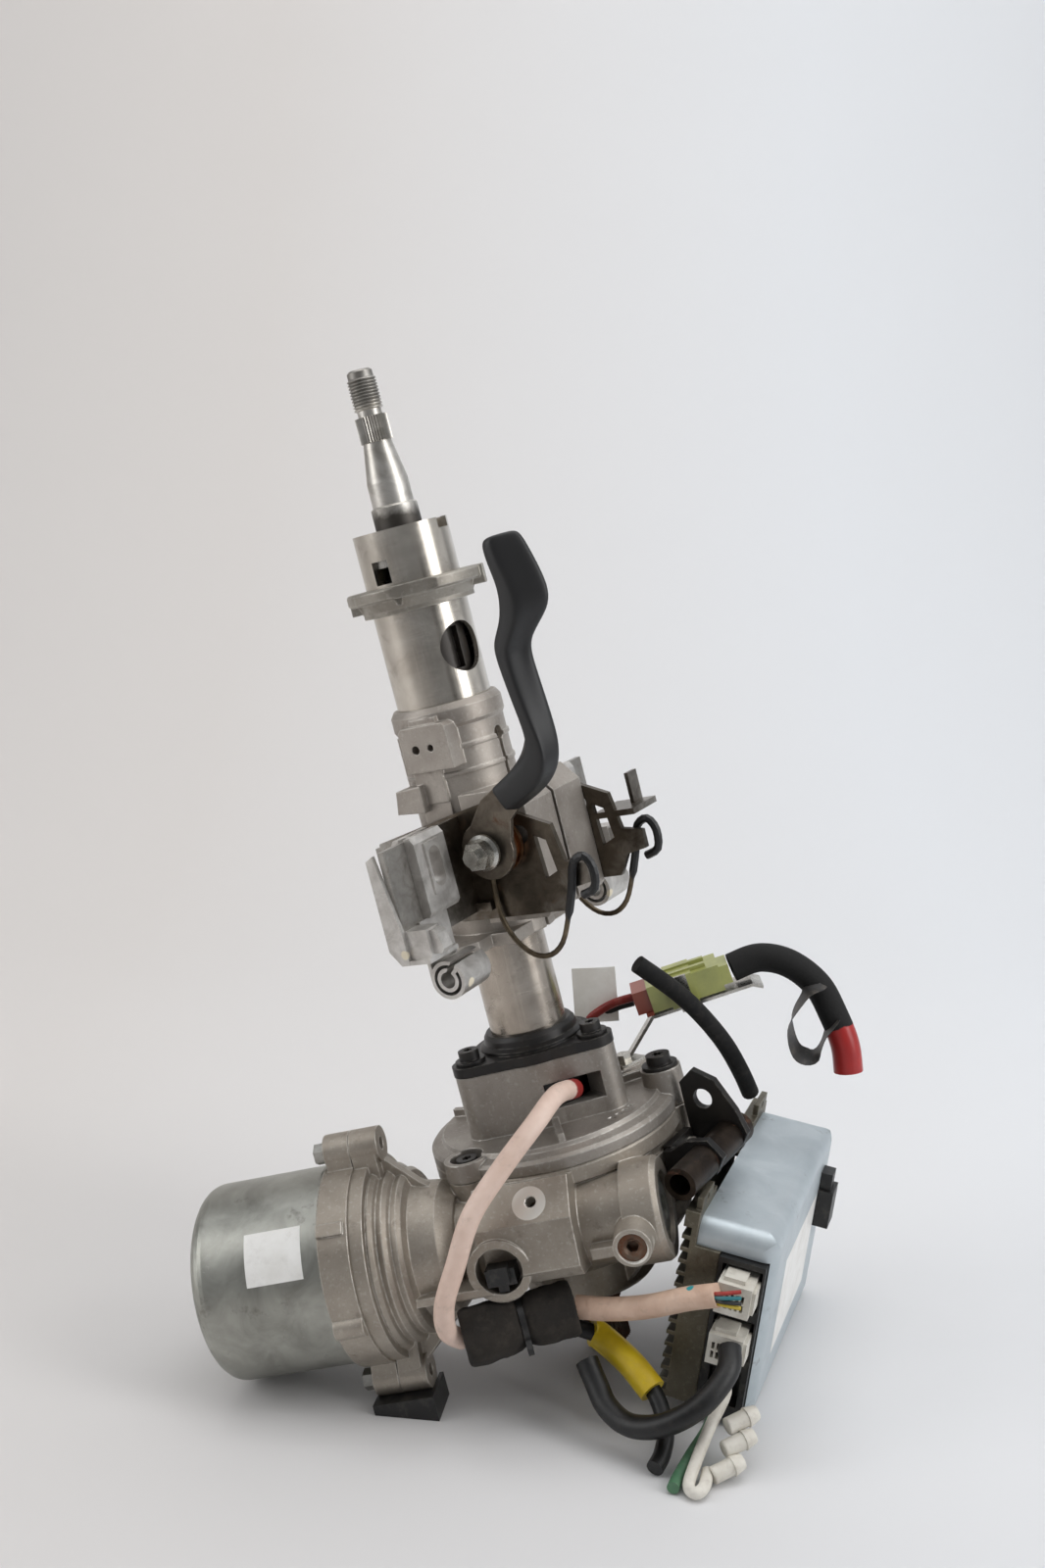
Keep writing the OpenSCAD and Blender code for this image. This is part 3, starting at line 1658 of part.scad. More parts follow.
// Rubber coated grip, its side outline cut to the waist and the bent head
module lever_grip()
bench() {
    y = cheek_y + bracket_t + free_gap + 12.5;
    color([0.07, 0.07, 0.075])
    side()
        difference() {
            intersection() {
                translate([0, -y + grip_t / 2, 0])
                    rotate([90, 0, 0])
                        linear_extrude(height = grip_t)
                            polygon([[44.6, 210.8], [52, 199], [64, 197], [74, 203], [80.5, 215], [83.2, 230],
                                [82, 257], [84.7, 271.6], [90.9, 278], [99.6, 290], [101.2, 296.7], [95, 311],
                                [91.5, 318], [88, 320.4], [78, 320.4], [72.5, 318.2], [70.6, 312], [70.2, 298.4],
                                [70.4, 281], [66.7, 276], [61.6, 260], [60.4, 238], [57.5, 226], [51.8, 218.5]]);
                translate([30, -y, 0])
                    rotate([90, 0, 90])
                        linear_extrude(height = 90)
                            polygon([[-grip_t * 0.42, 190], [grip_t * 0.42, 190], [grip_t * 0.5, 225],
                                [grip_t * 0.44, 262], [grip_t * 0.36, 275], [grip_t * 0.46, 296],
                                [grip_t * 0.3, 322], [-grip_t * 0.2, 322], [-grip_t * 0.46, 300],
                                [-grip_t * 0.4, 275], [-grip_t * 0.5, 262], [-grip_t * 0.5, 225]]);
            }
            lever_pocket();
        }
}

// Room inside the grip for the end of the steel arm
module lever_pocket() {
    y = cheek_y + bracket_t + free_gap + 8;
    along_y(-y - 3, 3)
        lever_outline();
}

upper_shaft();
lock_collar();
inner_tube();
switch_ring();
upper_bearing();
outer_jacket();
lower_tube();
column_flange();
flange_bolts();
sensor_cover();
cover_bolts();
torque_sensor();
gear_housing();
output_bearings();
worm_bearings();
worm_shaft();
wheel_hub();
wheel_rim();
output_shaft();
torsion_bar();
lower_shaft();
adjuster_plug();
worm_end_cap();
motor_flange();
motor_can();
motor_stator();
motor_rotor();
motor_screws();
motor_grommet();
lower_bracket();
bracket_bolts();
pivot_tube();
unit_base();
unit_cover();
unit_board();
unit_header();
unit_plugs();
side_plug();
power_connector();
connector_bracket();
harness_clip();
tilt_bracket();
mount_capsules();
energy_strips();
tilt_springs();
clamp_bolt();
fixed_cam();
lever_cam();
lever_plate();
lever_grip();
foam_wrap();
cable_tie();
sensor_cable();
unit_sleeve();
loop_cable();
motor_lead();
loose_wires();
power_lead();
taped_lead();
control_lead();
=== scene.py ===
import math
import bpy
from mathutils import Euler, Matrix, Vector
from mathutils.geometry import interpolate_bezier


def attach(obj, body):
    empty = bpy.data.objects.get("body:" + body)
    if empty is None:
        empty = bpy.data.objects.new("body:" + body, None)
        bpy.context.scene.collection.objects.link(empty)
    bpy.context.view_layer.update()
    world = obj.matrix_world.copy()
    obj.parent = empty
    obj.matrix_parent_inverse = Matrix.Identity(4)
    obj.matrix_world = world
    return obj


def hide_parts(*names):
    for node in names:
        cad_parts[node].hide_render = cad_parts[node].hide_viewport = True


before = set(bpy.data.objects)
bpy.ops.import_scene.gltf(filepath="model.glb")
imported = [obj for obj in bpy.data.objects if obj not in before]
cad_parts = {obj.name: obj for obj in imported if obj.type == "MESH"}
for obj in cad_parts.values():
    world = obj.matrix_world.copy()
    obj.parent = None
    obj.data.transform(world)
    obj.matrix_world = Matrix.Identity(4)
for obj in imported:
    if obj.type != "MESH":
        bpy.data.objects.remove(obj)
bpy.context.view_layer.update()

# The table is a pale, matt laminate sheet that sweeps up into the backdrop behind the column.
# It is a little warmer and darker at the left, as in the photograph.


class Strand:
    """A value, colour or vector on its way through the nodes of one material."""

    def __init__(self, tree, socket):
        self.tree = tree
        self.socket = socket

    def node(self, kind, settings, sockets, out=0):
        made = self.tree.nodes.new(kind)
        for key, value in settings.items():
            setattr(made, key, value)
        for key, value in sockets.items():
            if isinstance(value, Strand):
                self.tree.links.new(value.socket, made.inputs[key])
            else:
                made.inputs[key].default_value = value
        return Strand(self.tree, made.outputs[out])

    def _math(self, operation, first, second):
        return self.node("ShaderNodeMath", {"operation": operation}, {0: first, 1: second})

    def __add__(self, other):
        return self._math("ADD", self, other)

    def __radd__(self, other):
        return self._math("ADD", other, self)

    def __sub__(self, other):
        return self._math("SUBTRACT", self, other)

    def __rsub__(self, other):
        return self._math("SUBTRACT", other, self)

    def __mul__(self, other):
        return self._math("MULTIPLY", self, other)

    def __rmul__(self, other):
        return self._math("MULTIPLY", other, self)


def tone(red, green, blue):
    """A colour as it is read off a picture (0 to 255), as the linear colour that shaders take."""
    steps = [c / 255 for c in (red, green, blue)]
    return (*[c / 12.92 if c <= 0.04045 else ((c + 0.055) / 1.055) ** 2.4 for c in steps], 1.0)


def new_finish(name):
    """A new material: the material, its shader and the coordinates that its patterns lie on."""
    material = bpy.data.materials.new(name)
    material.use_nodes = True
    tree = material.node_tree
    place = Strand(tree, None).node("ShaderNodeTexCoord", {}, {}, out="Object")
    return material, tree.nodes["Principled BSDF"], place


def feed(shader, **strands):
    """Links strands to the shader's sockets, or sets plain values on them."""
    for name, value in strands.items():
        socket = shader.inputs[name.replace("_", " ")]
        if isinstance(value, Strand):
            value.tree.links.new(value.socket, socket)
        else:
            socket.default_value = value


def noise(place, scale, detail=3.0, rough=0.55, twist=0.0):
    """Cloudy unevenness whose patches are about 1/scale metres wide."""
    return place.node("ShaderNodeTexNoise", {}, {"Vector": place, "Scale": scale, "Detail": detail,
                                                 "Roughness": rough, "Distortion": twist})


def between(value, low, high):
    """0 below low, 1 above high, and even in between."""
    return value.node("ShaderNodeMapRange", {}, {"Value": value, "From Min": low, "From Max": high})


def blend(share, first, second):
    """One colour turning into another by a share."""
    return share.node("ShaderNodeMix", {"data_type": "RGBA"}, {0: share, 6: first, 7: second}, out=2)


half_width, table_front, table_back = 4, -3.4, 0.6
lip, sweep_radius, wall_height = 0.05, 1.2, 2.5
bpy.ops.object.select_all(action="DESELECT")
bpy.ops.mesh.primitive_plane_add(size=2)
table = bpy.context.object
table.name = "table"
table.scale = (half_width, (table_back - table_front) / 2, 1)
table.location = (0, (table_back + table_front) / 2, 0)
bpy.ops.object.transform_apply(location=True, rotation=True, scale=True)
for vertex in table.data.vertices:
    vertex.select = vertex.co.y > 0
for edge in table.data.edges:
    edge.select = all(table.data.vertices[i].co.y > 0 for i in edge.vertices)
for face in table.data.polygons:
    face.select = False
bpy.ops.object.mode_set(mode="EDIT")
bpy.ops.mesh.extrude_region_move(TRANSFORM_OT_translate={"value": (0, lip, 0)})
bpy.ops.mesh.spin(steps=40, angle=-math.pi / 2, center=(0, table_back + lip, sweep_radius),
                  axis=(1, 0, 0))
bpy.ops.mesh.extrude_region_move(TRANSFORM_OT_translate={"value": (0, 0, wall_height)})
bpy.ops.mesh.select_all(action="SELECT")
bpy.ops.mesh.normals_make_consistent(inside=False)
bpy.ops.object.mode_set(mode="OBJECT")
bpy.ops.object.shade_smooth()
laminate, shader, place = new_finish("pale_laminate")
across = place.node("ShaderNodeSeparateXYZ", {}, {"Vector": place})
# Painted shade: the laminate's colour runs warmer and darker towards the left.
feed(shader, Base_Color=blend(between(across, -0.35, 0.4), tone(212, 208, 205), tone(222, 224, 227)),
     Roughness=between(noise(place, 6), 0.2, 0.9) * 0.15 + 0.6)
table.data.materials.append(laminate)

# Soft studio light: a wide bank overhead, a tall one on each side and one turned to the backdrop,
# in a pale room that is darker behind the camera. The camera stands where the photograph's did.


def greater(first, second):
    """The greater of two values."""
    return first.node("ShaderNodeMath", {"operation": "MAXIMUM"}, {0: first, 1: second})


backdrop_light, room_light, dark_end = 0.8, 0.4, 0.2
camera_spot, camera_pitch, camera_lens = (-0.0037, -0.8264, 0.4658), 78, 40.79
world = bpy.data.worlds.new("pale_room")
bpy.context.scene.world = world
world.use_nodes = True
outward = Strand(world.node_tree, None).node("ShaderNodeTexCoord", {}, {}, out="Generated")
depth = outward.node("ShaderNodeSeparateXYZ", {}, {"Vector": outward}, out=1)
seen = outward.node("ShaderNodeLightPath", {}, {})
feed(world.node_tree.nodes["Background"], Color=(0.95, 0.97, 1.0, 1.0),
     Strength=greater(seen * backdrop_light, between(depth, -0.75, 0.2) * room_light + dark_end))
for name, spot, turn, width, height, power in (
        ("bank_overhead", (0.15, 0.05, 1.6), (4, 5, 0), 1.6, 1.2, 8.8),
        ("bank_left", (-1.5, -0.35, 0.85), (70, 0, -77), 0.7, 1.4, 7.8),
        ("bank_right", (1.35, -0.7, 1.0), (68, 0, 62), 0.7, 1.4, 13),
        ("bank_back", (0.1, 0.45, 2.0), (64, 0, 0), 2.6, 0.8, 19)):
    bpy.ops.object.light_add(type="AREA", location=spot, rotation=[math.radians(a) for a in turn])
    lamp = bpy.context.object
    lamp.name = name
    lamp.data.shape = "RECTANGLE"
    lamp.data.size = width
    lamp.data.size_y = height
    lamp.data.energy = power
bpy.ops.object.camera_add(location=camera_spot, rotation=(math.radians(camera_pitch), 0, 0))
camera = bpy.context.object
camera.name = "camera"
camera.data.sensor_fit = "VERTICAL"
camera.data.sensor_height = 36
camera.data.lens = camera_lens
bpy.context.scene.camera = camera
bpy.context.scene.view_settings.view_transform = "Standard"

# The gear housing, the sensor cover, the motor flange and the jacket are die-cast aluminium,
# left as cast: a warm grey, grainy skin with stains, and edges rubbed brighter in handling.


def dress(material, *nodes):
    """Gives CAD nodes a finish through their material slots."""
    for node in nodes:
        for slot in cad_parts[node].material_slots:
            slot.material = material


def bump(place, height, strength, depth, normal=None):
    """A normal roughened by a height pattern that is depth metres high."""
    sockets = {"Strength": strength, "Distance": depth, "Height": height}
    if normal is not None:
        sockets["Normal"] = normal
    return place.node("ShaderNodeBump", {}, sockets)


def apart(place, spot):
    """The distance from a spot, in metres."""
    return place.node("ShaderNodeVectorMath", {"operation": "DISTANCE"}, {0: place, 1: spot}, out=1)


def dot(first, second):
    """How far one direction runs along another."""
    return first.node("ShaderNodeVectorMath", {"operation": "DOT_PRODUCT"}, {0: first, 1: second}, out=1)


def edge_wear(place, radius, low, high):
    """A normal that is rounded at the edges, and where those edges are."""
    rounded = place.node("ShaderNodeBevel", {"samples": 4}, {"Radius": radius})
    flat = place.node("ShaderNodeNewGeometry", {}, {}, out=1)
    return rounded, between(1 - dot(rounded, flat), low, high)


def cast_skin(name, light, dark, edge, soil, milled=()):
    """Grainy cast metal with stains, brighter edges and round milled spots."""
    material, shader, place = new_finish(name)
    stains = noise(place, 26, 4, 0.6, 0.4)
    grain = noise(place, 1300, 2, 0.6)
    pebbles = noise(place, 520, 2, 0.5)
    rounded, edges = edge_wear(place, 0.0011, 0.015, 0.14)
    rubbed = edges * between(noise(place, 260), 0.3, 0.55)
    skin = blend(between(stains, 0.3, 0.7), dark, light)
    skin = blend(between(grain, 0.54, 0.7) * 0.4, skin, dark)
    skin = blend(between(pebbles, 0.58, 0.7) * 0.15, skin, edge)
    skin = blend(between(noise(place, 90, 4, 0.7), 0.6, 0.74) * soil, skin, tone(62, 54, 45))
    skin = blend(rubbed * 0.75, skin, edge)
    bare = grain * 0
    for centre, radius in milled:
        bare = greater(bare, 1 - between(apart(place, centre), radius * 0.96, radius))
    skin = blend(bare, skin, edge)
    relief = (grain * 0.55 + pebbles * 0.45) * (1 - bare * 0.8)
    feed(shader, Base_Color=skin, Metallic=0.7, Specular_IOR_Level=0.4,
         Roughness=0.4 + stains * 0.14 - rubbed * 0.1 - bare * 0.16,
         Normal=bump(place, relief, 0.5, 0.0002, rounded))
    return material


milled_boss, milled_pad = ((0.0472, -0.0846, 0.0954), 0.0092), ((-0.0009, -0.0716, 0.1094), 0.0082)
dress(cast_skin("cast_housing", tone(179, 171, 160), tone(146, 137, 126), tone(228, 224, 216), 0.35,
                (milled_boss, milled_pad)), "gear_housing", "motor_flange")
dress(cast_skin("cast_cover", tone(170, 164, 157), tone(138, 131, 123), tone(224, 221, 215), 0.25),
      "sensor_cover")
dress(cast_skin("cast_jacket", tone(182, 175, 167), tone(148, 140, 132), tone(222, 217, 209), 0.35),
      "outer_jacket")

# The motor can is a deep-drawn cup of dull zinc-coated steel, cloudy and scuffed, with a bare
# pale label place at its front. The worm's end cap is the same sheet, pressed into the housing.


def zinc_skin(name, light, dark, roughness, scuff, metallic=0.85):
    """Cloudy, spangled zinc with scuffs and a little dirt."""
    material, shader, place = new_finish(name)
    clouds = noise(place, 46, 4, 0.6, 0.7)
    spangle = place.node("ShaderNodeTexVoronoi", {}, {"Vector": place, "Scale": 210.0})
    hair = noise(place, 340, 5, 0.75, 2.2)
    scuffs = between(hair, 0.62, 0.7) * between(noise(place, 28, 3), 0.45, 0.6) * scuff
    skin = blend(between(clouds, 0.3, 0.7), dark, light)
    skin = blend(between(spangle, 0.1, 0.75) * 0.16, skin, dark)
    skin = blend(scuffs, skin, tone(205, 203, 198))
    skin = blend(between(noise(place, 75, 4, 0.7), 0.62, 0.75) * 0.5, skin, tone(70, 62, 54))
    grain = noise(place, 1300, 2, 0.6)
    feed(shader, Base_Color=skin, Metallic=metallic,
         Roughness=roughness + clouds * 0.22 - scuffs * 0.1,
         Normal=bump(place, hair * 0.5 + clouds + grain * 0.4, 0.24, 0.0004))
    return material


can_zinc = zinc_skin("can_zinc", tone(178, 178, 171), tone(140, 140, 133), 0.26, 0.5)
dress(can_zinc, "motor_can", "worm_end_cap")


def moulded_skin(name, colour, worn, roughness, dust=0.25):
    """Moulded plastic or paper film, worn in patches and dusty."""
    material, shader, place = new_finish(name)
    clouds = noise(place, 60, 4, 0.6)
    pores = noise(place, 1700, 2, 0.6)
    dusty = between(noise(place, 140, 4, 0.7), 0.52, 0.7) * dust
    skin = blend(between(clouds, 0.35, 0.7), colour, worn)
    skin = blend(dusty, skin, tone(150, 142, 130))
    feed(shader, Base_Color=skin, Roughness=roughness + clouds * 0.16 + dusty * 0.15,
         Normal=bump(place, pores + clouds * 0.6, 0.16, 0.0002))
    return material


def placed(spot, turn):
    """A frame at a spot, in metres, turned by angles in degrees about X, Y and Z."""
    return Matrix.Translation(spot) @ Euler([math.radians(a) for a in turn]).to_matrix().to_4x4()


def label_place(name, columns, rows, spot):
    """A bare label: a film that lies where spot() puts its points, each from -0.5 to 0.5."""
    bpy.ops.object.select_all(action="DESELECT")
    bpy.ops.mesh.primitive_grid_add(x_subdivisions=columns, y_subdivisions=rows, size=1)
    label = bpy.context.object
    label.name = name
    for vertex in label.data.vertices:
        vertex.co = spot(vertex.co.x, vertex.co.y)
    film = label.modifiers.new("film", "SOLIDIFY")
    film.thickness = film_thickness
    bpy.ops.object.modifier_apply(modifier=film.name)
    label.data.materials.append(label_film)
    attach(label, "column")


column_spot, column_turn = (0.0199, 0.00272, 0.08576), (-1.54, -14.61, -8.84)
COLUMN = placed(column_spot, column_turn)
label_film = moulded_skin("label_film", tone(240, 239, 236), tone(226, 224, 219), 0.34, 0.12)
film_thickness = 0.00015
motor_axis_y, label_radius = -0.052, 0.0471
label_middle, label_length, label_angle, label_sweep = -0.124, 0.028, 148, 30


def round_can(x, y):
    """A point of the can's label, on the round wall."""
    angle = math.radians(label_angle - y * label_sweep)
    across, up = label_radius * math.cos(angle), label_radius * math.sin(angle)
    return COLUMN @ Vector((label_middle + x * label_length, motor_axis_y + across, up))


smooth_angle = math.radians(40)
label_place("can_label_place", 6, 14, round_can)
bpy.ops.object.shade_smooth_by_angle(angle=smooth_angle)

# The motor's screws and the lower bracket's bolts are cold-headed steel, plated with bright zinc
# and filmed with grease. They are screwed into the castings.


def machined_skin(name, colour, dark, roughness, grease=0.35):
    """Machined or headed metal with a film of grease."""
    material, shader, place = new_finish(name)
    clouds = noise(place, 120, 4, 0.6)
    fine = noise(place, 1500, 2, 0.6)
    oily = between(noise(place, 70, 4, 0.65, 0.5), 0.5, 0.68) * grease
    skin = blend(between(clouds, 0.3, 0.7), dark, colour)
    skin = blend(oily, skin, tone(48, 40, 32))
    feed(shader, Base_Color=skin, Metallic=1.0, Roughness=roughness + fine * 0.16 + oily * 0.1,
         Normal=bump(place, fine + clouds, 0.15, 0.00015))
    return material


dress(machined_skin("bright_zinc", tone(190, 189, 184), tone(146, 143, 137), 0.24),
      "motor_screws", "bracket_bolts")

# Inside the housing: ground steel worm and bearings, a plastic-rimmed worm wheel on a steel hub,
# the torsion bar and lower shaft, and the sensor's moulded ring. The motor's insides are steel too.
ground_steel = machined_skin("ground_steel", tone(176, 174, 170), tone(128, 125, 120), 0.2)
dress(ground_steel, "worm_shaft", "wheel_hub", "torsion_bar", "output_bearings", "worm_bearings",
      "upper_bearing", "lower_shaft", "motor_rotor", "motor_stator")
dress(moulded_skin("wheel_plastic", tone(214, 200, 166), tone(188, 170, 130), 0.35), "wheel_rim")
black_plastic = moulded_skin("black_plastic", tone(20, 20, 21), tone(31, 30, 29), 0.36, 0.1)
dress(black_plastic, "torque_sensor", "unit_header", "cable_tie")

# The output shaft and the adjuster plug are turned from bare steel that has begun to rust. The
# plug is screwed into the housing, where it loads the worm's bearing.


def rusty_skin(name, colour, dark, rust, share, roughness):
    """Bare steel with rust over a share of it."""
    material, shader, place = new_finish(name)
    clouds = noise(place, 110, 5, 0.65, 0.5)
    fine = noise(place, 1200, 3, 0.65)
    rusted = between(noise(place, 85, 6, 0.72, 0.6), 0.62 - share * 0.3, 0.74 - share * 0.2)
    skin = blend(between(clouds, 0.3, 0.7), dark, colour)
    skin = blend(rusted, skin, blend(fine, rust, tone(74, 40, 22)))
    feed(shader, Base_Color=skin, Metallic=0.9 - rusted * 0.8,
         Roughness=roughness + rusted * 0.35 + fine * 0.1,
         Normal=bump(place, fine * (0.4 + rusted), 0.3, 0.0003))
    return material


rusted_steel = rusty_skin("rusted_steel", tone(120, 108, 96), tone(76, 66, 58), tone(128, 78, 44),
                          0.7, 0.35)
dress(rusted_steel, "output_shaft", "adjuster_plug")

# The lower bracket and the column flange are black-coated steel, bolted on, with dusty, rubbed
# corners. The bolts of the flange and the cover are coated too, and the pivot tube through the
# bracket is bare, dark and a little rusty.


def black_coat(name, colour, rubbed_colour, roughness):
    """Black-coated steel, rubbed bright at its edges."""
    material, shader, place = new_finish(name)
    clouds = noise(place, 55, 5, 0.65)
    fine = noise(place, 1400, 2, 0.6)
    rounded, edges = edge_wear(place, 0.0009, 0.02, 0.2)
    rubbed = edges * between(noise(place, 330), 0.42, 0.62)
    skin = blend(between(clouds, 0.4, 0.7) * 0.4, colour, tone(66, 59, 51))
    skin = blend(rubbed * 0.65, skin, rubbed_colour)
    feed(shader, Base_Color=skin, Metallic=0.35 + rubbed * 0.5, Roughness=roughness + clouds * 0.2,
         Normal=bump(place, fine, 0.25, 0.0002, rounded))
    return material


satin_black = black_coat("satin_black", tone(34, 33, 33), tone(138, 134, 126), 0.32)
dress(satin_black, "lower_bracket", "column_flange", "flange_bolts", "cover_bolts")
dress(rusty_skin("pivot_skin", tone(66, 56, 48), tone(36, 31, 28), tone(104, 66, 42), 0.12, 0.36),
      "pivot_tube")

# The lower tube is drawn steel; the inner tube is turned bright and slides in the jacket, so it
# carries fine lines around it and long scratches along it. The switch ring on it is a casting.


def on_column(place):
    """The column's own coordinates, whose Z runs along the steering axis."""
    return place.node("ShaderNodeMapping", {"vector_type": "TEXTURE"}, {
        "Vector": place, "Location": column_spot, "Rotation": [math.radians(a) for a in column_turn]})


def stretched(place, shares):
    """Coordinates drawn out along the column or around it."""
    return place.node("ShaderNodeVectorMath", {"operation": "MULTIPLY"}, {0: place, 1: shares})


def drawn_skin(name, colour, dark, roughness, scratch, stain):
    """Bright tube with lines around it, scratches along it and stains."""
    material, shader, place = new_finish(name)
    axis = on_column(place)
    scratches = noise(stretched(axis, (900, 900, 14)), 1, 3, 0.6)
    rings = noise(stretched(axis, (25, 25, 2600)), 1, 2, 0.6)
    clouds = noise(axis, 32, 5, 0.62, 0.5)
    stained = between(noise(axis, 60, 5, 0.7, 0.8), 0.55, 0.7) * stain
    skin = blend(between(clouds, 0.32, 0.68), dark, colour)
    skin = blend(between(scratches, 0.55, 0.72) * scratch, skin, tone(226, 220, 208))
    skin = blend(stained, skin, tone(70, 58, 46))
    feed(shader, Base_Color=skin, Metallic=0.92,
         Roughness=roughness + rings * 0.14 + clouds * 0.12 + stained * 0.15,
         Normal=bump(place, scratches * 0.5 + rings * 0.5, 0.2, 0.00018))
    return material


dress(drawn_skin("bright_tube", tone(220, 214, 204), tone(184, 177, 167), 0.1, 0.35, 0.25), "inner_tube")
dress(drawn_skin("drawn_tube", tone(196, 187, 176), tone(152, 142, 131), 0.11, 0.25, 0.35), "lower_tube")
dress(cast_skin("ring_casting", tone(170, 165, 156), tone(128, 122, 113), tone(214, 209, 200), 0.4),
      "switch_ring")

# The upper shaft is bright turned steel, with one dark heat-treated band where it enters the tube
# and another on its thread. The lock collar on it is black.


def banded_skin(name):
    """Turned steel with oxide bands at two heights on the column, in metres."""
    material, shader, place = new_finish(name)
    axis = on_column(place)
    height = axis.node("ShaderNodeSeparateXYZ", {}, {"Vector": axis}, out=2)
    fine = noise(axis, 1200, 3, 0.6)
    clouds = noise(axis, 90, 5, 0.65, 0.6)
    wander = height + clouds * 0.012
    oxide = between(wander, 0.312, 0.322) * (1 - between(wander, 0.345, 0.352))
    oxide = oxide + between(wander, 0.398, 0.402) * 0.55
    skin = blend(between(clouds, 0.3, 0.7), tone(176, 171, 163), tone(222, 219, 213))
    skin = blend(oxide * 0.85, skin, tone(44, 39, 35))
    feed(shader, Base_Color=skin, Metallic=0.95, Roughness=0.28 + clouds * 0.2 + oxide * 0.15,
         Normal=bump(place, fine, 0.15, 0.00015))
    return material


dress(banded_skin("banded_steel"), "upper_shaft")
dress(black_coat("collar_black", tone(52, 48, 45), tone(150, 146, 138), 0.3), "lock_collar")

# The tilt bracket is bent sheet steel, grey on its wings and dark round the clamp, where grease and
# painted shade darken it. The capsules and the energy strips there are grey steel with small dabs of
# cream inspection paint.
greasy_shaded_steel, shader, place = new_finish("greasy_shaded_steel")
clouds = noise(place, 110, 5, 0.65, 0.5)
fine = noise(place, 1200, 3, 0.65)
clamp_middle = (0.0009, -0.0011, 0.2694)
# Grease and painted shade: the steel's colour darkens round the clamp, in the bracket's hollow.
grease_and_shade = 1 - between(apart(place, clamp_middle) + clouds * 0.03, 0.06, 0.098)
rusted = between(noise(place, 85, 6, 0.72, 0.6), 0.6, 0.72) * 0.6
skin = blend(between(clouds, 0.3, 0.7), tone(146, 142, 136), tone(184, 181, 176))
skin = blend(grease_and_shade, skin, blend(clouds, tone(42, 37, 31), tone(124, 114, 101)))
skin = blend(rusted, skin, tone(112, 84, 58))
feed(shader, Base_Color=skin, Metallic=0.88 - rusted * 0.6,
     Roughness=0.34 + rusted * 0.3 - grease_and_shade * 0.08 + fine * 0.08,
     Normal=bump(place, fine * 0.4 + clouds * 0.5, 0.25, 0.0003))
dress(greasy_shaded_steel, "tilt_bracket")


def dabbed_skin(name, colour, dark, dabs, paint, radius):
    """Grey steel with dabs of paint at the given spots."""
    material, shader, place = new_finish(name)
    clouds = noise(place, 100, 5, 0.65, 0.5)
    fine = noise(place, 1300, 2, 0.6)
    skin = blend(between(clouds, 0.32, 0.68), dark, colour)
    painted = fine * 0
    for dab in dabs:
        uneven = apart(place, dab) + clouds * radius * 0.8
        painted = greater(painted, 1 - between(uneven, radius * 1.2, radius * 1.4))
    skin = blend(painted, skin, paint)
    feed(shader, Base_Color=skin, Metallic=0.85 - painted * 0.85,
         Roughness=0.34 + clouds * 0.2 + painted * 0.1,
         Normal=bump(place, fine, 0.2, 0.0002))
    return material


dabs = ((-0.0265, -0.0672, 0.2138), (0.0413, 0.0476, 0.2233), (-0.0558, -0.0722, 0.2277))
dress(dabbed_skin("grey_steel", tone(216, 213, 209), tone(176, 172, 167), dabs, tone(230, 220, 196),
                  0.0024), "mount_capsules", "energy_strips")

# Two tilt springs of bent brown wire hold the column up. Their ends hook over the tabs of the
# bracket's cheeks and are dipped in black rubber.
side_turn = math.radians(-22)
dip_start, dip_end = 0.0585, 0.06


def dipped_skin(name, colour, dark, dip):
    """Spring wire whose ends, ahead of the bracket, are dipped."""
    material, shader, place = new_finish(name)
    clouds = noise(place, 140, 4, 0.6)
    axis = on_column(place)
    turned = axis.node("ShaderNodeMapping", {"vector_type": "TEXTURE"}, {
        "Vector": axis, "Rotation": (0, 0, side_turn)})
    ahead = turned.node("ShaderNodeSeparateXYZ", {}, {"Vector": turned})
    dipped = between(ahead, dip_start, dip_end)
    skin = blend(between(clouds, 0.3, 0.7), dark, colour)
    feed(shader, Base_Color=blend(dipped, skin, dip), Metallic=0.9 - dipped * 0.9,
         Roughness=0.3 + clouds * 0.2, Normal=bump(place, clouds, 0.2, 0.0004))
    return material


dress(dipped_skin("spring_wire", tone(116, 104, 86), tone(66, 58, 48), tone(20, 20, 21)),
      "tilt_springs")

# The clamp: a zinc bolt and flange nut through both cheeks, two greasy copper-brown cams and
# the grey steel lever plate between them, stamped to a round head and an arm that enters the grip.


def drawn_bar(name, rings):
    """A closed bar: a filled ring, drawn out through the given rings of points one by one."""
    bpy.ops.object.select_all(action="DESELECT")
    bpy.ops.mesh.primitive_circle_add(vertices=len(rings[0]), fill_type="NGON", radius=0.01)
    bar = bpy.context.object
    bar.name = name
    for vertex, point in zip(bar.data.vertices, rings[0]):
        vertex.co = point
    for ring in rings[1:]:
        bpy.ops.object.mode_set(mode="EDIT")
        bpy.ops.mesh.extrude_region_move()
        bpy.ops.object.mode_set(mode="OBJECT")
        drawn = [vertex for vertex in bar.data.vertices if vertex.select]
        for vertex, point in zip(drawn, ring):
            vertex.co = point
    bpy.ops.object.mode_set(mode="EDIT")
    bpy.ops.mesh.select_all(action="SELECT")
    bpy.ops.mesh.normals_make_consistent(inside=False)
    bpy.ops.object.mode_set(mode="OBJECT")
    return bar


cam_steel = machined_skin("cam_steel", tone(190, 144, 108), tone(132, 96, 70), 0.24, 0.4)
dress(machined_skin("clamp_zinc", tone(196, 194, 188), tone(150, 147, 140), 0.2, 0.3), "clamp_bolt")
dress(cam_steel, "fixed_cam", "lever_cam")
plate_steel = rusty_skin("plate_steel", tone(134, 125, 113), tone(96, 88, 79), tone(104, 78, 54),
                         0.14, 0.32)

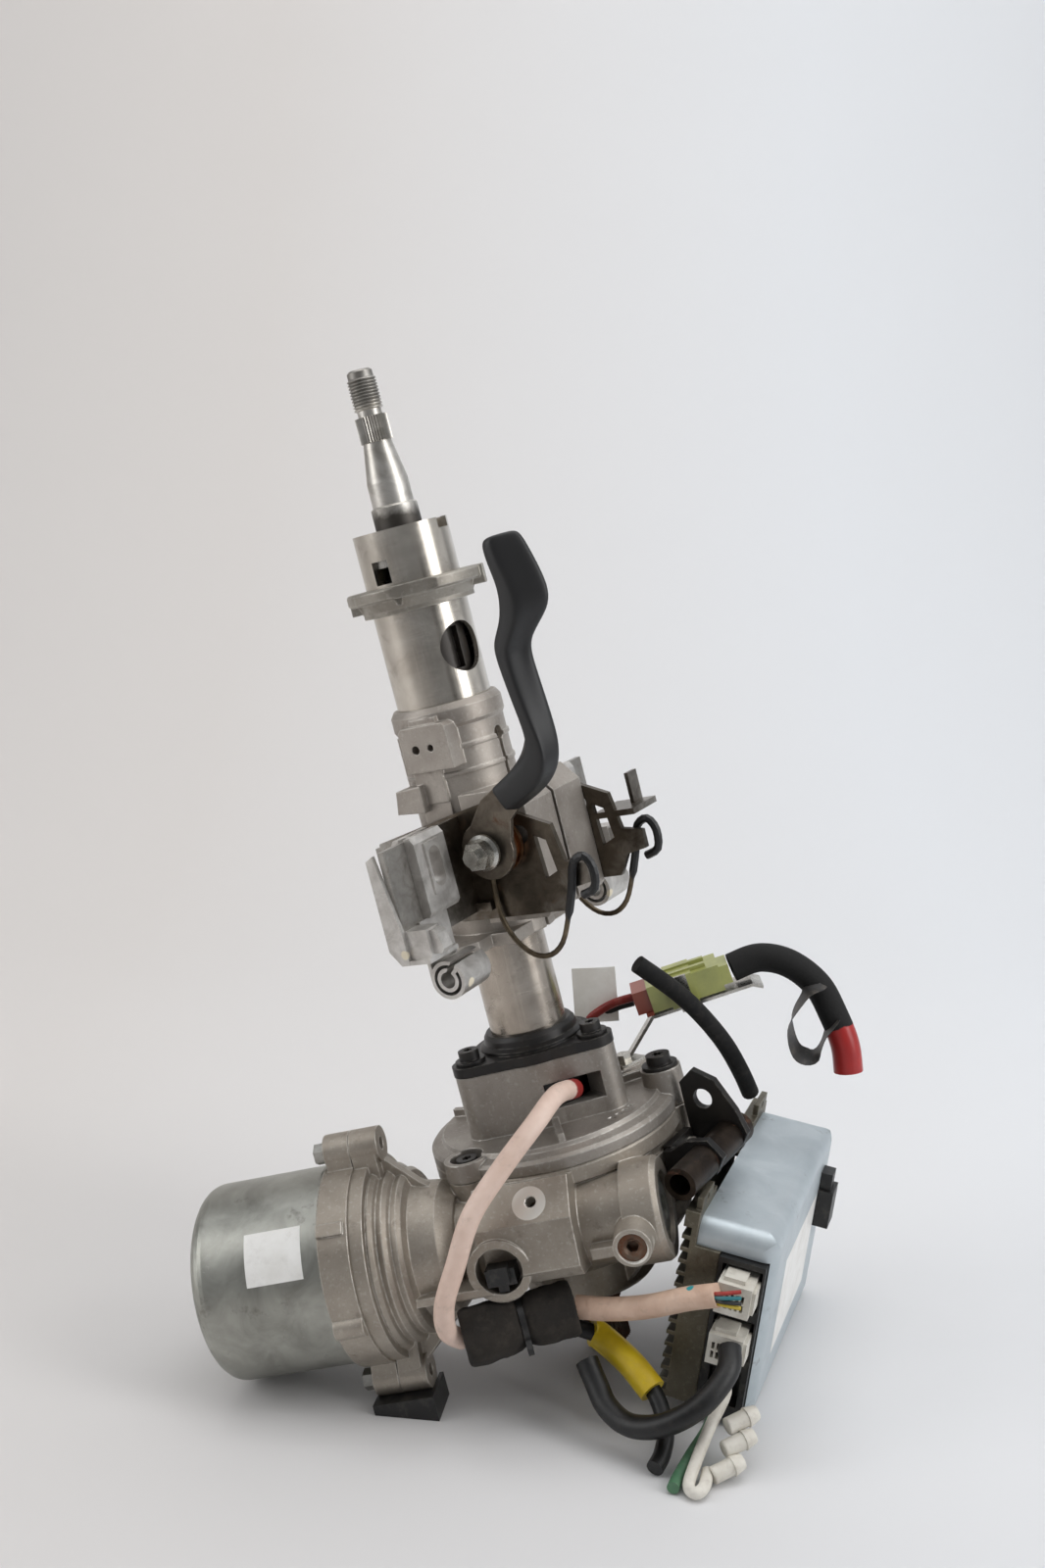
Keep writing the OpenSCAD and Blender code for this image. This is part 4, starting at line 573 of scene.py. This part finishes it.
# The plate's outline, in mm in the column's frame turned to face the lever: the corners of the
# arm, then the arc of the head.
SIDE = COLUMN @ Matrix.Rotation(side_turn, 4, "Z")
bolt_x, bolt_z, bolt_hole, head_radius = 31, 182, 4.06, 14
plate_front, plate_back, plate_edge, punch_length = -40.9, -37.9, 0.4, 20
outline = [(47.5, 194.6), (51.0, 197.6), (63.0, 207.0), (59.0, 214.0), (43.4, 210.6), (34.4, 206.0)]
for degrees in range(115, 376, 15):
    angle = math.radians(degrees)
    outline.append((bolt_x + head_radius * math.cos(angle), bolt_z + head_radius * math.sin(angle)))
plate = drawn_bar("lever_stamping", [[SIDE @ (Vector((x, y, z)) / 1000) for x, z in outline]
                                     for y in (plate_front, plate_back)])
bpy.ops.object.select_all(action="DESELECT")
bpy.ops.mesh.primitive_cylinder_add(vertices=32, radius=bolt_hole / 1000, depth=punch_length / 1000)
punch = bpy.context.object
middle = Vector((bolt_x, (plate_front + plate_back) / 2, bolt_z)) / 1000
punch.matrix_world = SIDE @ Matrix.Translation(middle) @ Matrix.Rotation(math.radians(90), 4, "X")
bpy.context.view_layer.objects.active = plate
pierced = plate.modifiers.new("pierced", "BOOLEAN")
pierced.object = punch
bpy.ops.object.modifier_apply(modifier=pierced.name)
bpy.data.objects.remove(punch)
eased_edge = plate.modifiers.new("eased_edge", "BEVEL")
eased_edge.width = plate_edge / 1000
eased_edge.segments = 2
eased_edge.angle_limit = math.radians(50)
bpy.ops.object.modifier_apply(modifier=eased_edge.name)
plate.data.materials.append(plate_steel)
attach(plate, "lever")
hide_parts("lever_plate")

# The lever's grip is black rubber moulded over the plate: an elbow, a slim stem and a kinked
# paddle. A ridge runs up its front, between a narrow left face and a wide slanting right face.


def rounded_off(piece, levels):
    """Subdivides a piece into a smooth form."""
    bpy.context.view_layer.objects.active = piece
    softened = piece.modifiers.new("softened", "SUBSURF")
    softened.levels = levels
    bpy.ops.object.modifier_apply(modifier=softened.name)
    bpy.ops.object.shade_smooth()


# Each section: its left and right ends in the lever's frame, in mm, the ridge's share of the way
# across, how far the right face is hollowed, its thickness and how far the back covers the plate.
# The points around it are shares of the way across and depths in mm.
grip_sections = (
    ((44.8, 211.0), (52.2, 198.4), 0.80, 0.0, 0.80, 0.0),
    ((45.0, 211.2), (52.5, 198.6), 0.80, 0.0, 0.82, 0.0),
    ((53.0, 215.2), (60.5, 202.0), 0.82, 0.0, 0.90, 0.05),
    ((60.0, 219.4), (68.5, 206.0), 0.86, 0.0, 0.96, 0.15),
    ((65.4, 223.2), (75.0, 211.0), 0.90, 0.0, 1.00, 0.30),
    ((68.6, 227.0), (79.4, 217.8), 0.86, 0.0, 1.00, 0.45),
    ((69.6, 232.0), (81.2, 226.0), 0.72, 0.0, 1.00, 0.20),
    ((68.8, 240.0), (81.2, 234.5), 0.58, 0.0, 1.00, 0.0),
    ((66.9, 252.0), (80.4, 247.5), 0.50, 0.0, 0.98, 0.0),
    ((65.2, 265.0), (79.4, 260.5), 0.48, 0.6, 0.95, 0.0),
    ((64.7, 272.4), (79.2, 268.6), 0.54, 1.8, 0.92, 0.0),
    ((66.8, 277.2), (81.4, 273.8), 0.62, 2.2, 0.92, 0.0),
    ((71.0, 283.0), (87.4, 279.4), 0.58, 1.0, 0.95, 0.0),
    ((73.6, 290.6), (94.0, 285.6), 0.48, 0.0, 0.98, 0.0),
    ((74.4, 299.0), (95.8, 293.6), 0.40, 0.0, 1.00, 0.0),
    ((72.4, 309.0), (92.6, 306.0), 0.36, 0.0, 0.98, 0.0),
    ((71.8, 316.4), (89.6, 316.0), 0.36, 0.0, 0.92, 0.0),
    ((73.0, 319.0), (87.6, 319.6), 0.36, 0.0, 0.84, 0.0),
    ((76.0, 320.2), (85.0, 320.4), 0.40, 0.0, 0.55, 0.0))
grip_middle = -42.4
grip_rings = []
for left, right, ridge, hollow, thickness, cover in grip_sections:
    around = ((0.0, -3.2), (0.05, -5.8), (ridge - 0.07, -6.9), (ridge + 0.05, -6.6),
              ((ridge + 1) / 2, -2.2 + hollow), (0.98, 2.2), (1.0, 4.2), (0.9, 6.6), (0.5, 7.0),
              (0.08 - cover, 6.6), (-cover, 4.2))
    ring = []
    for share, depth in around:
        x, z = Vector(left).lerp(Vector(right), share)
        ring.append(SIDE @ (Vector((x, grip_middle + depth * thickness, z)) / 1000))
    grip_rings.append(ring)
grip = drawn_bar("grip_moulding", grip_rings)
rounded_off(grip, 2)
grip_rubber, shader, place = new_finish("grip_rubber")
grain = noise(place, 1900, 2, 0.6)
feed(shader, Base_Color=blend(between(noise(place, 45), 0.3, 0.75), tone(21, 21, 22), tone(28, 27, 28)),
     Roughness=grain * 0.12 + 0.42, Normal=bump(place, grain, 0.2, 0.00012))
grip.data.materials.append(grip_rubber)
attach(grip, "lever")
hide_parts("lever_grip")

# The control unit is a pressed zinc-coated cover over a finned die-cast base, with a bare label
# place on its outer face. A black header with two white plugs stands in its front end. The plug
# at its side and the motor's grommet are black mouldings too.
dress(zinc_skin("cover_zinc", tone(197, 205, 209), tone(177, 187, 192), 0.32, 0.15, 0.5), "unit_cover")
dress(cast_skin("base_casting", tone(122, 116, 101), tone(86, 81, 70), tone(166, 160, 144), 0.5),
      "unit_base")
dress(moulded_skin("board_green", tone(38, 76, 48), tone(54, 92, 60), 0.35), "unit_board")
dress(moulded_skin("plug_white", tone(222, 219, 210), tone(196, 190, 178), 0.34, 0.3), "unit_plugs")
dress(black_plastic, "side_plug", "motor_grommet")

UNIT = COLUMN @ placed((0.1046, -0.069, -0.0194), (-1.294, 22.21, -10.96))
unit_label_y, unit_label_z, unit_label_length, unit_label_height = 0.071, -0.05, 0.078, 0.05
film_lift = 0.00008


def on_unit(x, y):
    """A point of the unit's label, just off the cover's outer face."""
    return UNIT @ Vector((film_lift, unit_label_y + x * unit_label_length,
                          unit_label_z + y * unit_label_height))


label_place("unit_label_place", 8, 6, on_unit)

# The power connector is a moulded yellow-green housing with a brown-red lock, clipped to a bright
# zinc strap that stands on the cover; a black clip holds the harness in the housing's loop.
PLUG = COLUMN @ placed((0.0726, 0.0464, 0.0762), (3.75, -4.98, 8.24))


def beyond(place, spot, direction):
    """How far a point lies beyond a spot in a direction, in metres."""
    offset = place.node("ShaderNodeVectorMath", {"operation": "SUBTRACT"}, {0: place, 1: spot})
    return dot(offset, direction)


connector_yellow, shader, place = new_finish("connector_yellow")
clouds = noise(place, 80, 4, 0.6)
locked = 1 - between(beyond(place, PLUG.translation, PLUG.to_3x3().col[0]), -0.0182, -0.0178)
skin = blend(between(clouds, 0.3, 0.7), tone(176, 178, 104), tone(152, 156, 92))
feed(shader, Base_Color=blend(locked, skin, tone(150, 66, 44)), Roughness=0.24 + clouds * 0.16,
     Coat_Weight=0.25, Normal=bump(place, clouds, 0.15, 0.0003))
dress(connector_yellow, "power_connector")
dress(machined_skin("strap_zinc", tone(206, 203, 196), tone(164, 160, 152), 0.2, 0.25),
      "connector_bracket")
dress(black_plastic, "harness_clip")

# The wiring is black cable, plain wire, cable wound with tape and two pale sleeves full of wires.
# Each lead is laid through the points it passes, in mm, from the one where it comes out.


def eased(route, knots):
    """The smooth line through a route's points, with so many knots to each span."""
    spots = [Vector(point) / 1000 for point in route]
    line = [spots[0]]
    for step in range(len(spots) - 1):
        before, start = spots[max(step - 1, 0)], spots[step]
        end, after = spots[step + 1], spots[min(step + 2, len(spots) - 1)]
        line += interpolate_bezier(start, start + (end - before) / 6, end - (after - start) / 6, end,
                                   knots + 1)[1:]
    return line


def laid_curve(name, spots, radius, material):
    """A round cable through points, as one open curve."""
    bpy.ops.object.select_all(action="DESELECT")
    bpy.ops.curve.primitive_bezier_curve_add()
    lead = bpy.context.object
    lead.name = name
    curve = lead.data
    line = curve.splines[0]
    line.bezier_points.add(len(spots) - 2)
    for step, knot in enumerate(line.bezier_points):
        before = spots[max(step - 1, 0)]
        after = spots[min(step + 1, len(spots) - 1)]
        knot.handle_left_type = knot.handle_right_type = "FREE"
        knot.co = spots[step]
        knot.handle_left = spots[step] - (after - before) / 6
        knot.handle_right = spots[step] + (after - before) / 6
    line.resolution_u = 4
    curve.dimensions = "3D"
    curve.bevel_depth = radius / 1000
    curve.bevel_resolution = 5
    curve.use_fill_caps = True
    curve.materials.append(material)
    return lead, line


def laid_cord(name, route, radius, material, node):
    """A free cord along a route, standing for a CAD node where one is given."""
    spots = eased(route, 4)
    lead, line = laid_curve(name, spots, radius, material)
    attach(lead, "column")
    if node:
        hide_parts(node)


def cable_skin(name, colour, worn, roughness, dust):
    """Cable jacket, tape or foam, worn in patches and dusty."""
    material, shader, place = new_finish(name)
    clouds = noise(place, 70, 4, 0.6)
    fine = noise(place, 900, 3, 0.65)
    dusty = between(noise(place, 160, 4, 0.7), 0.5, 0.7) * dust
    skin = blend(between(clouds, 0.35, 0.7), colour, worn)
    skin = blend(dusty, skin, tone(140, 130, 118))
    feed(shader, Base_Color=skin, Roughness=roughness + fine * 0.15 + dusty * 0.2,
         Normal=bump(place, fine * 0.5 + clouds, 0.3, 0.0004))
    return material


black_cable = cable_skin("black_cable", tone(9, 9, 10), tone(15, 15, 15), 0.38, 0.04)
felt_tape = cable_skin("felt_tape", tone(14, 14, 15), tone(24, 23, 22), 0.85, 0.06)


def sleeve_skin(name, light, dark, crease, mark, mark_radius, paint):
    """Pale, creased sleeve with one coloured mark."""
    material, shader, place = new_finish(name)
    clouds = noise(place, 60, 4, 0.6)
    folds = noise(place, 95, 2, 0.4, 1.4)
    marked = 1 - between(apart(place, mark), mark_radius * 0.85, mark_radius)
    skin = blend(between(clouds, 0.3, 0.72), light, dark)
    skin = blend(between(noise(place, 170, 4, 0.7), 0.56, 0.74) * 0.3, skin, tone(150, 134, 120))
    feed(shader, Base_Color=blend(marked, skin, paint), Roughness=0.4 + clouds * 0.15,
         Normal=bump(place, folds * crease + noise(place, 900, 2) * 0.08, 0.5, 0.002))
    return material


red_mark, red_mark_radius = (0.021, -0.024, 0.146), 0.0105
teal_mark, teal_mark_radius = (0.072, -0.0885, 0.0763), 0.0019
sensor_sleeve = sleeve_skin("sensor_sleeve", tone(234, 209, 195), tone(216, 188, 172), 0.25,
                            red_mark, red_mark_radius, tone(146, 36, 32))
unit_sleeve = sleeve_skin("unit_sleeve", tone(222, 193, 172), tone(200, 166, 144), 1.0,
                          teal_mark, teal_mark_radius, tone(52, 150, 156))
white_wire = cable_skin("white_wire", tone(226, 222, 212), tone(204, 198, 186), 0.42, 0.25)
green_wire = cable_skin("green_wire", tone(86, 128, 96), tone(66, 104, 78), 0.42, 0.25)
red_wire = cable_skin("red_wire", tone(150, 40, 34), tone(120, 34, 30), 0.38, 0.2)

# The taped tail ends in bare red insulation, past the last turn of tape.
tape_end, tail_direction = (0.1572, 0.0312, 0.157), (0.3, -0.22, -0.93)
taped_red, shader, place = new_finish("taped_red")
fibres = noise(place, 700, 3, 0.65)
past_tape = beyond(place, tape_end, tail_direction) + noise(place, 130) * 0.004
bared = between(past_tape, 0.0018, 0.0024)
tape_black = blend(fibres, tone(12, 12, 13), tone(26, 25, 24))
bare_red = blend(noise(place, 90), tone(188, 44, 40), tone(138, 32, 32))
feed(shader, Base_Color=blend(bared, tape_black, bare_red), Roughness=0.85 - bared * 0.5,
     Normal=bump(place, fibres * (1 - bared * 0.8), 0.4, 0.0006))

laid_cord("sensor_lead", (
    (21, -24, 146), (12, -45, 151), (2, -64, 145), (-14, -76, 127), (-27, -83, 108), (-34, -87, 86),
    (-39, -89, 68), (-38, -85, 53), (-31, -80, 46)),
    4.8, sensor_sleeve, "sensor_cable")
laid_cord("unit_lead", (
    (21, -72, 58), (37, -76, 59), (54, -81, 63), (71, -87, 70), (84, -93, 75)),
    5.6, unit_sleeve, "unit_sleeve")
laid_cord("loop_lead", (
    (90, -93, 49), (88, -103, 43), (76, -113, 33), (60, -113, 23), (45, -104, 17), (35, -94, 20),
    (30, -85, 27), (26, -78, 34)),
    5.4, black_cable, "loop_cable")
laid_cord("motor_wire", (
    (18.4, -64.7, 47.8), (19, -60, 42), (33, -63, 38), (46, -76, 32), (57, -88, 23), (61, -100, 13),
    (59, -110, 7), (55, -118, 4.5)),
    4, black_cable, "motor_lead")
laid_cord("floor_wire_white", (
    (95.6, -69.1, 25.4), (90, -84, 26), (88, -95, 26), (80, -108, 18), (73, -120, 9), (69, -130, 4),
    (72, -135, 3.6), (76, -130, 4), (78, -121, 5)),
    2.8, white_wire, "loose_wires")
laid_cord("floor_wire_green", (
    (92, -67.8, 19.4), (86, -85, 20), (81, -98, 13), (72, -112, 8), (65, -123, 3.6), (62, -131, 3.4)),
    2.8, green_wire, None)
laid_cord("power_wire_red", (
    (21, 55, 140), (27, 49, 152), (36, 45, 161), (44, 42, 166.6), (53.4, 40.7, 170)),
    2.2, red_wire, "power_lead")
laid_cord("power_wire_black", (
    (21, 59, 136), (27, 53, 148), (36, 49, 157), (44, 46, 162.6), (53.4, 44.7, 166)),
    2.2, black_cable, None)
laid_cord("taped_tail", (
    (103, 43, 185), (117, 44, 190), (132, 41, 188), (146, 37, 178), (154, 33, 164), (160, 29, 149),
    (162, 27, 135)),
    7.4, taped_red, "taped_lead")
laid_cord("control_wire", (
    (116, 53, 113), (110, 47, 127), (100, 38, 146), (86, 26, 166), (72, 19, 181), (53, 15, 196)),
    4.6, felt_tape, "control_lead")

# A plain yellow sleeve is slipped over the motor lead, and thin coloured wires come out of the
# pale sleeve into the white plug. The terminals by the floor wires are round white mouldings.


def small_tube(name, route, radius, material):
    """A short, stiff tube or wire laid through points, as a mesh."""
    tube = laid_curve(name, eased(route, 4), radius, material)[0]
    bpy.ops.object.convert(target="MESH")
    bpy.ops.object.shade_smooth_by_angle(angle=smooth_angle)
    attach(tube, "column")


sleeve_yellow = cable_skin("sleeve_yellow", tone(224, 194, 30), tone(200, 168, 26), 0.38, 0.12)
small_tube("yellow_sleeve", ((29, -62, 39.5), (33, -63, 38), (46, -76, 32), (56, -87, 24)), 6.6,
           sleeve_yellow)
plug_wires = (((168, 40, 34), 2.7, -2.8), ((40, 128, 138), 0.9, -3.6), ((40, 40, 42), -0.9, -3.6),
              ((214, 186, 44), -2.7, -2.8))
for number, (colour, rise, side) in enumerate(plug_wires, 1):
    name = "plug_wire_%d" % number
    wire_skin = cable_skin(name, tone(*colour), tone(*[c * 0.8 for c in colour]), 0.4, 0.2)
    small_tube(name, ((81, -92 + side * 0.6, 74 + rise * 0.7), (86, -94 + side, 75 + rise),
                      (94, -93 + side, 74 + rise * 1.5)), 0.95, wire_skin)


def turned_rings(stand, profile, steps):
    """Rings of points round the Z axis of a frame, from heights and radii in mm."""
    angles = [2 * math.pi * step / steps for step in range(steps)]
    rings = []
    for height, radius in profile:
        spots = [Vector((radius * math.cos(a), radius * math.sin(a), height)) / 1000 for a in angles]
        rings.append([stand @ spot for spot in spots])
    return rings


terminal_profile = ((-7, 2.9), (-6.9, 3.6), (-6.4, 4), (-6, 4), (2.6, 4), (3, 4.1), (3.2, 4.6),
                    (3.6, 4.6), (8.6, 3.5), (9, 3.2), (9, 2.4), (5, 2.2))
terminal_spots = ((94, -105, 20), (92, -112, 13), (86, -121, 6))
lying = placed(Vector(terminal_spots[0]) / 1000, (0, 78, 24))
terminals = [drawn_bar("wire_terminal", turned_rings(lying, terminal_profile, 20))]
bpy.ops.object.shade_smooth_by_angle(angle=smooth_angle)
terminals[0].data.materials.append(white_wire)
for last, spot in zip(terminal_spots, terminal_spots[1:]):
    shift = (Vector(spot) - Vector(last)) / 1000
    bpy.ops.object.duplicate_move(TRANSFORM_OT_translate={"value": shift})
    bpy.ops.object.transform_apply(location=True, rotation=False, scale=False)
    terminals.append(bpy.context.object)
for number, terminal in enumerate(terminals, 1):
    terminal.name = "wire_terminal_%d" % number
    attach(terminal, "column")

# A bare paper tag hangs at the power lead. The last turn of the taped tail's tape has come loose
# and hangs in a curl.


def ribbon(name, route, breadth, across, thickness):
    """A thin strip laid through points, its breadth turned towards one direction; also its length."""
    line = eased(route, 6)
    rings = []
    for step, spot in enumerate(line):
        ahead = (line[min(step + 1, len(line) - 1)] - line[max(step - 1, 0)]).normalized()
        flat = (Vector(across) - ahead * ahead.dot(Vector(across))).normalized()
        up = ahead.cross(flat)
        rings.append([spot + flat * a * breadth / 2000 + up * b * thickness / 2000
                      for a, b in ((-1, -1), (0, -1), (1, -1), (1, 1), (0, 1), (-1, 1))])
    strip = drawn_bar(name, rings)
    bpy.ops.object.shade_smooth_by_angle(angle=smooth_angle)
    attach(strip, "column")
    return strip, sum((b - a).length for a, b in zip(line, line[1:]))


tape_width, tape_thickness = 12, 0.35
tag_width, tag_thickness = 28, 0.4
loose_tape, tape_length = ribbon("loose_tape", (
    (146, 31, 181), (139, 27, 176), (131.5, 25, 162), (135, 24, 147), (144, 24, 145), (150, 26, 156),
    (155, 28, 163)), tape_width, (0.3, 0.85, 0.42), tape_thickness)
loose_tape.data.materials.append(cable_skin("loose_tape", tone(44, 43, 43), tone(70, 68, 66), 0.4, 0.3))
tag = ribbon("white_tag", ((22.6, 50, 167.5), (30, 48.4, 168.4), (38, 47.6, 169), (45, 47.4, 169.6)),
             tag_width, (0.06, 0.2, 1), tag_thickness)[0]
tag.data.materials.append(moulded_skin("tag_paper", tone(240, 238, 232), tone(226, 222, 214), 0.55, 0.1))

# Dark brown foam sheet is wrapped round the harness in two rolls, and pulled in between them by
# the cable tie. Its open pores make it uneven.
FOAM = placed((-0.031, -0.080, 0.046), (0, 76.9, 8.7))
foam_profile = ((0, 11.6), (0.8, 13.0), (6, 13.8), (14, 13.6), (21, 13.7), (25.2, 12.6), (27.2, 10.6),
                (29.8, 10.6), (31.8, 12.2), (36, 13.2), (44, 13.3), (51, 13.3), (53, 12.6), (53.6, 11.2))
foam = drawn_bar("foam_roll", turned_rings(FOAM, foam_profile, 20))
rounded_off(foam, 2)
pores = bpy.data.textures.new("foam_pores", "CLOUDS")
pores.noise_scale = 0.006
pored = foam.modifiers.new("pored", "DISPLACE")
pored.texture = pores
pored.texture_coords = "LOCAL"
pored.strength = 0.0016
bpy.ops.object.modifier_apply(modifier=pored.name)
foam.data.materials.append(cable_skin("foam_brown", tone(32, 29, 26), tone(46, 41, 36), 0.9, 0.06))
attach(foam, "column")
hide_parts("foam_wrap")
